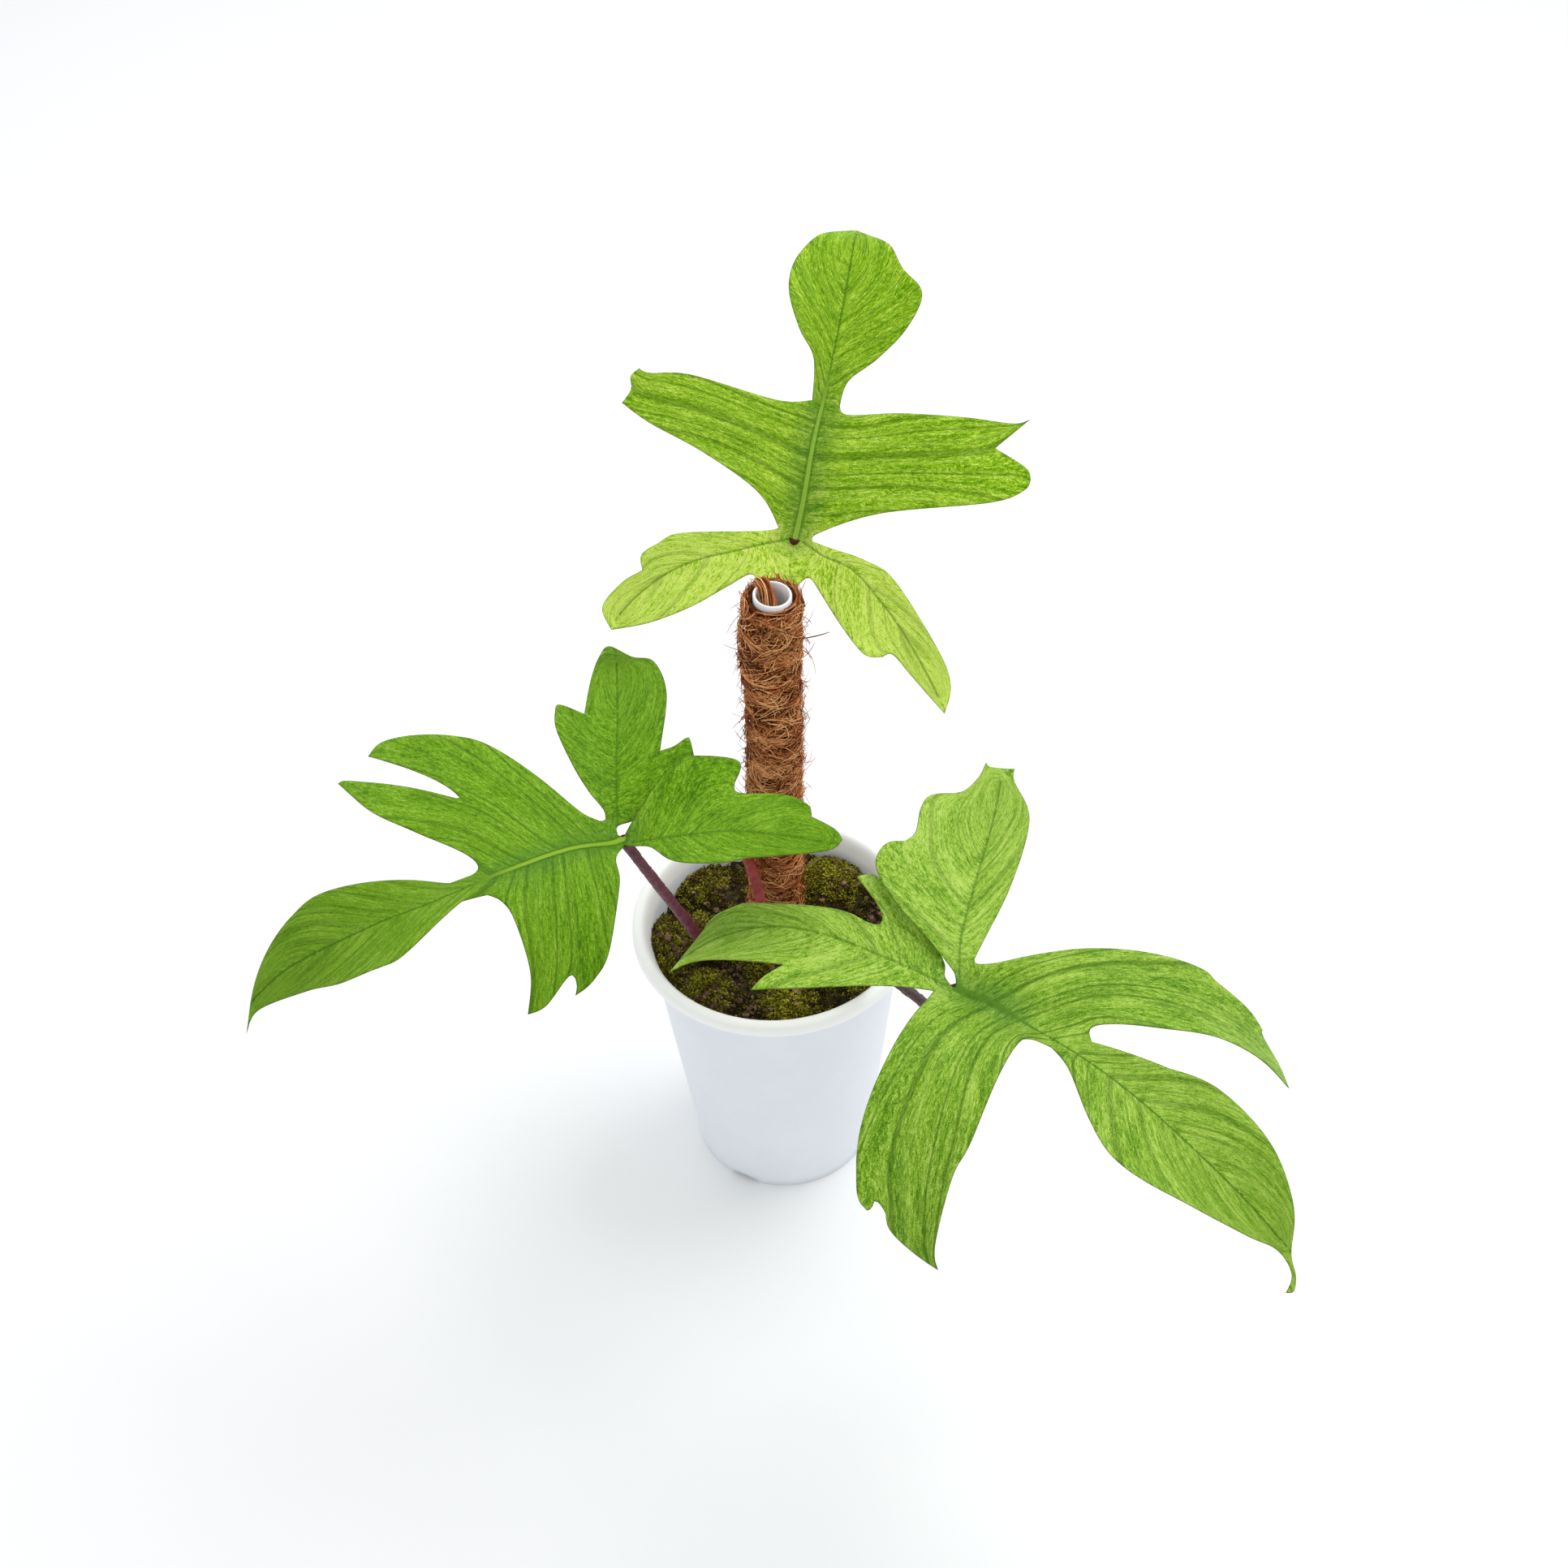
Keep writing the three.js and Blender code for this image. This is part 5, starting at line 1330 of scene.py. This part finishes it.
def crumbs(relief, rng, material):
    """Crumbs of peat and bark between the cushions."""
    shape = bmesh.new()
    bmesh.ops.create_icosphere(shape, subdivisions=1, radius=1)
    base = np.array([tuple(v.co) for v in shape.verts])
    faces = np.array([[v.index for v in f.verts] for f in shape.faces])
    shape.free()
    x, y = scattered(rng, MOSS_EDGE - 1.5, CRUMBS)
    low = relief(x, y) < 2.2
    x, y = x[low], y[low]
    z = moss_height(relief, x, y) + 0.2
    size = rng.uniform(0.5, 1.9, (len(x), 1)) * rng.uniform(0.45, 1.0, (len(x), 3))
    turn = rng.uniform(0, 2 * np.pi, len(x))
    rough = 1 + rng.normal(0, 0.16, (len(x), len(base), 1))
    local = base[None] * size[:, None] * rough
    c, s = np.cos(turn)[:, None], np.sin(turn)[:, None]
    a, b = local[..., 0], local[..., 1]
    spun = np.stack([a * c - b * s, a * s + b * c, local[..., 2]], -1)
    points = (spun + np.stack([x, y, z], 1)[:, None]).reshape(-1, 3)
    all_faces = (np.arange(len(x))[:, None, None] * len(base) + faces[None]).reshape(-1, 3)
    values = {"tone": np.repeat(rng.random(len(x)), len(base))}
    piece("soil_crumbs", points, all_faces, material, values=values, smooth=False)


def moss_bed_material():
    n = Nodes("moss_bed")
    place = n.place()
    coarse = n.noise(place, 90, 4.0, 0.6)
    fine = n.noise(place, 700, 4.0, 0.7)
    tone = n.plus(n.times(coarse, 0.6), n.times(fine, 0.4))
    color = n.ramp(tone, [(0.35, (0.010, 0.006, 0.003)), (0.5, (0.035, 0.028, 0.008)),
                          (0.68, (0.09, 0.085, 0.02))])
    n.set(color=color, roughness=0.9, specular=0.2, normal=n.bump(fine, 1.2, 1.0))
    return n.material


def tuft_material():
    n = Nodes("moss_tufts")
    tone = n.times_plus(n.value_of("glow"), 0.28, n.times(n.value_of("tone"), 0.62))
    tone = n.times_plus(n.noise(n.place(), 110, 3.0, 0.6), 0.45, tone)
    color = n.ramp(tone, [(0.14, (0.030, 0.013, 0.004)), (0.36, (0.13, 0.075, 0.009)),
                          (0.62, (0.25, 0.27, 0.004)), (0.98, (0.66, 0.62, 0.05))])
    color = n.mix(n.band(n.value_of("tipward"), 0.2, 1.0, 0.85, 0.0), color, (0.008, 0.006, 0.002))
    n.set(color=color, roughness=0.7, specular=0.1)
    return n.material


def crumb_material():
    n = Nodes("soil_crumbs")
    spots = n.noise(n.place(), 800, 3.0, 0.6)
    tone = n.plus(n.times(n.value_of("tone"), 0.7), n.times(spots, 0.3))
    color = n.ramp(tone, [(0.1, (0.018, 0.010, 0.007)), (0.6, (0.14, 0.072, 0.045)),
                          (0.95, (0.42, 0.26, 0.18))])
    n.set(color=color, roughness=0.85, specular=0.2, normal=n.bump(spots, 0.4, 0.8))
    return n.material


# Pot.
def turned_corner(start, corner, end, parts=8):
    """A quadratic curve between two profile points that leans to a corner."""
    t = np.linspace(0, 1, parts + 1)[:, None]
    start, corner, end = (np.array(v, float) for v in (start, corner, end))
    return [tuple(p) for p in (1 - t) ** 2 * start + 2 * (1 - t) * t * corner + t**2 * end]


def pot_inside(z):
    return FOOT_RADIUS + (SHOULDER_RADIUS - FOOT_RADIUS) * (z - FLOOR_TOP) / (SHOULDER_Z - FLOOR_TOP) - WALL


def pot(material):
    """The pot from its profile. Only the foot ring is raised into arches, not the pad inside it."""
    inner_foot = FOOT_RADIUS - FOOT_WIDTH
    mouth = POT_HEIGHT - RIM_MOUTH_DEPTH
    outer = [(FOOT_RADIUS + (SHOULDER_RADIUS - FOOT_RADIUS) * t, FOOT_ROUND + (SHOULDER_Z - FOOT_ROUND) * t)
             for t in np.linspace(0, 1, 24)]
    profile = [(0.01, 0), (PAD_RADIUS, 0), (PAD_RADIUS, FLOOR_UNDERSIDE), (inner_foot, FLOOR_UNDERSIDE)]
    profile += [(inner_foot, 0), (FOOT_RADIUS - FOOT_ROUND, 0)]
    profile += outer[:-1]
    shoulder, rim, lip = SHOULDER_RADIUS, RIM_RADIUS, RIM_MOUTH_RADIUS
    low, high = SHOULDER_Z, POT_HEIGHT
    profile += turned_corner((shoulder - 0.2, low - 1.2), (shoulder, low), (shoulder + 1.2, low), 4)
    profile += turned_corner((rim - RIM_ROUND, low), (rim, low), (rim, low + RIM_ROUND))
    profile += turned_corner((rim, high - RIM_ROUND), (rim, high), (rim - RIM_ROUND, high))
    profile += turned_corner((lip + RIM_ROUND, high), (lip, high), (pot_inside(mouth), mouth))
    profile += [(pot_inside(height), height) for height in np.linspace(mouth - 3, FLOOR_TOP, 12)]
    profile.append((0.01, FLOOR_TOP))
    profile = np.array(profile)
    angles = round_angles(POT_SIDES)
    pitch = 360 / ARCH_COUNT
    apart = (np.degrees(angles) - ARCH_ANGLE + pitch / 2) % pitch - pitch / 2
    reach = np.radians(apart) * FOOT_RADIUS
    arch = ARCH_HEIGHT * np.sqrt(np.clip(1 - (reach / (ARCH_WIDTH / 2)) ** 2, 0, 1))
    rows = []
    for index, (radius, z) in enumerate(profile):
        ring = index > 3 and radius > inner_foot - 0.1 and z < ARCH_HEIGHT + 1.5
        height = np.full(POT_SIDES, z)
        if ring:
            height = np.maximum(z, arch + (z * 0.25 if z > 0 else 0))
        rows.append(np.stack([radius * np.cos(angles), radius * np.sin(angles), height], 1))
    points = np.vstack(rows)
    return piece("pot_shell", points, grid_faces(len(rows), POT_SIDES), material, "pot")


def pot_material():
    n = Nodes("pot_plastic")
    place = n.place()
    z = n.split(place)[2]
    rim = n.band(z, (SHOULDER_Z - 2) * MM, (SHOULDER_Z + 0.7) * MM)
    clouds = n.noise(place, 40, 3.0, 0.6)
    wall = n.mix(n.band(clouds, 0.35, 0.7), (0.80, 0.84, 0.895), (0.83, 0.865, 0.915))
    color = n.mix(rim, wall, (0.95, 0.95, 0.93))
    specks = n.band(n.noise(place, 900, 1.0, 0.4), 0.79, 0.83)
    color = n.mix(n.times(specks, 0.25), color, (0.35, 0.33, 0.30))
    n.set(color=color, roughness=n.band(clouds, 0.3, 0.7, 0.36, 0.46), specular=0.45)
    n.set(subsurface=0.15, subsurface_radius=(1.0, 1.0, 1.0), subsurface_scale=0.004)
    n.set(normal=n.bump(n.noise(place, 2500, 2.0, 0.5), 0.05, 0.4))
    return n.material


def tube_material():
    n = Nodes("tube_plastic")
    place = n.place()
    clouds = n.noise(place, 300, 2.0, 0.5)
    color = n.mix(n.band(clouds, 0.4, 0.7), (0.82, 0.82, 0.84), (0.88, 0.88, 0.89))
    n.set(color=color, roughness=0.33, specular=0.5, normal=n.bump(clouds, 0.05, 0.3))
    return n.material


# Floor, lights and camera.
def studio():
    mesh = bpy.data.meshes.new("floor")
    low, high = -FLOOR_SIZE, FLOOR_SIZE
    corners = [(low, low, 0), (high, low, 0), (high, high, 0), (low, high, 0)]
    mesh.from_pydata(corners, [], [(0, 1, 2, 3)])
    floor = bpy.data.objects.new("floor", mesh)
    bpy.context.scene.collection.objects.link(floor)
    n = Nodes("floor")
    n.set(color=FLOOR_COLOR, roughness=0.35, specular=0.3)
    mesh.materials.append(n.material)
    world = bpy.data.worlds.new("world")
    world.use_nodes = True
    sky = world.node_tree.nodes["Background"].inputs
    sky["Color"].default_value = SKY_COLOR
    sky["Strength"].default_value = SKY_STRENGTH
    bpy.context.scene.world = world
    for name, place, size, power in SOFTBOXES:
        softbox(name, place, size, power)


def softbox(name, place, size, power):
    light = bpy.data.lights.new(name, "AREA")
    light.shape = "DISK"
    light.size = size
    light.energy = power
    obj = bpy.data.objects.new(name, light)
    obj.location = place
    aim = Vector(SOFTBOX_AIM) - Vector(place)
    obj.rotation_euler = aim.to_track_quat("-Z", "Y").to_euler()
    bpy.context.scene.collection.objects.link(obj)


def camera():
    down, roll = math.radians(CAMERA_DOWN), math.radians(CAMERA_ROLL)
    data = bpy.data.cameras.new("camera")
    data.lens = CAMERA_LENS
    data.sensor_fit = "AUTO"
    data.sensor_width = CAMERA_SENSOR
    data.clip_start = 0.01
    obj = bpy.data.objects.new("camera", data)
    across = Vector((math.cos(roll), -math.sin(roll) * math.sin(down), -math.sin(roll) * math.cos(down)))
    up = Vector((math.sin(roll), math.cos(roll) * math.sin(down), math.cos(roll) * math.cos(down)))
    back = Vector((0, -math.cos(down), math.sin(down)))
    obj.matrix_world = Matrix((
        (across[0], up[0], back[0], CAMERA_PLACE[0] * MM),
        (across[1], up[1], back[1], CAMERA_PLACE[1] * MM),
        (across[2], up[2], back[2], CAMERA_PLACE[2] * MM),
        (0, 0, 0, 1),
    ))
    bpy.context.scene.collection.objects.link(obj)
    bpy.context.scene.camera = obj


def leaves():
    for name, leaf, slot, seed in (
        ("leaf_left", LEFT_LEAF, "leaf_dark", 1),
        ("leaf_right", RIGHT_LEAF, "leaf_mottled", 2),
        ("leaf_top", TOP_LEAF, "leaf_light", 3),
    ):
        leaf_blade(name, leaf, leaf_material(name, leaf, LEAF_LOOKS[name], seed), seed)


def stalks():
    for name, points, leaf, is_bezier, slot, seed, pebbles in (
        ("stalk_left", LEFT_STALK, LEFT_LEAF, True, "stalk_maroon", 31, 0.22),
        ("stalk_right", RIGHT_STALK, RIGHT_LEAF, True, "stalk_brown", 32, 0.32),
        ("stalk_top", TOP_STALK, TOP_LEAF, False, "stalk_red", 33, 0.06),
    ):
        material = stalk_material(slot, *STALK_LOOKS[slot])
        stalk(name, stalk_route(points, leaf, is_bezier), material, seed, pebbles)


camera()
studio()
pot(pot_material())
moss(moss_bed_material(), tuft_material(), crumb_material())
fibre = coir_material()
coir(fibre)
coir_twist(fibre)
tube(tube_material())
leaves()
stalks()
bpy.context.scene.view_settings.view_transform = "Standard"

bpy.context.view_layer.update()
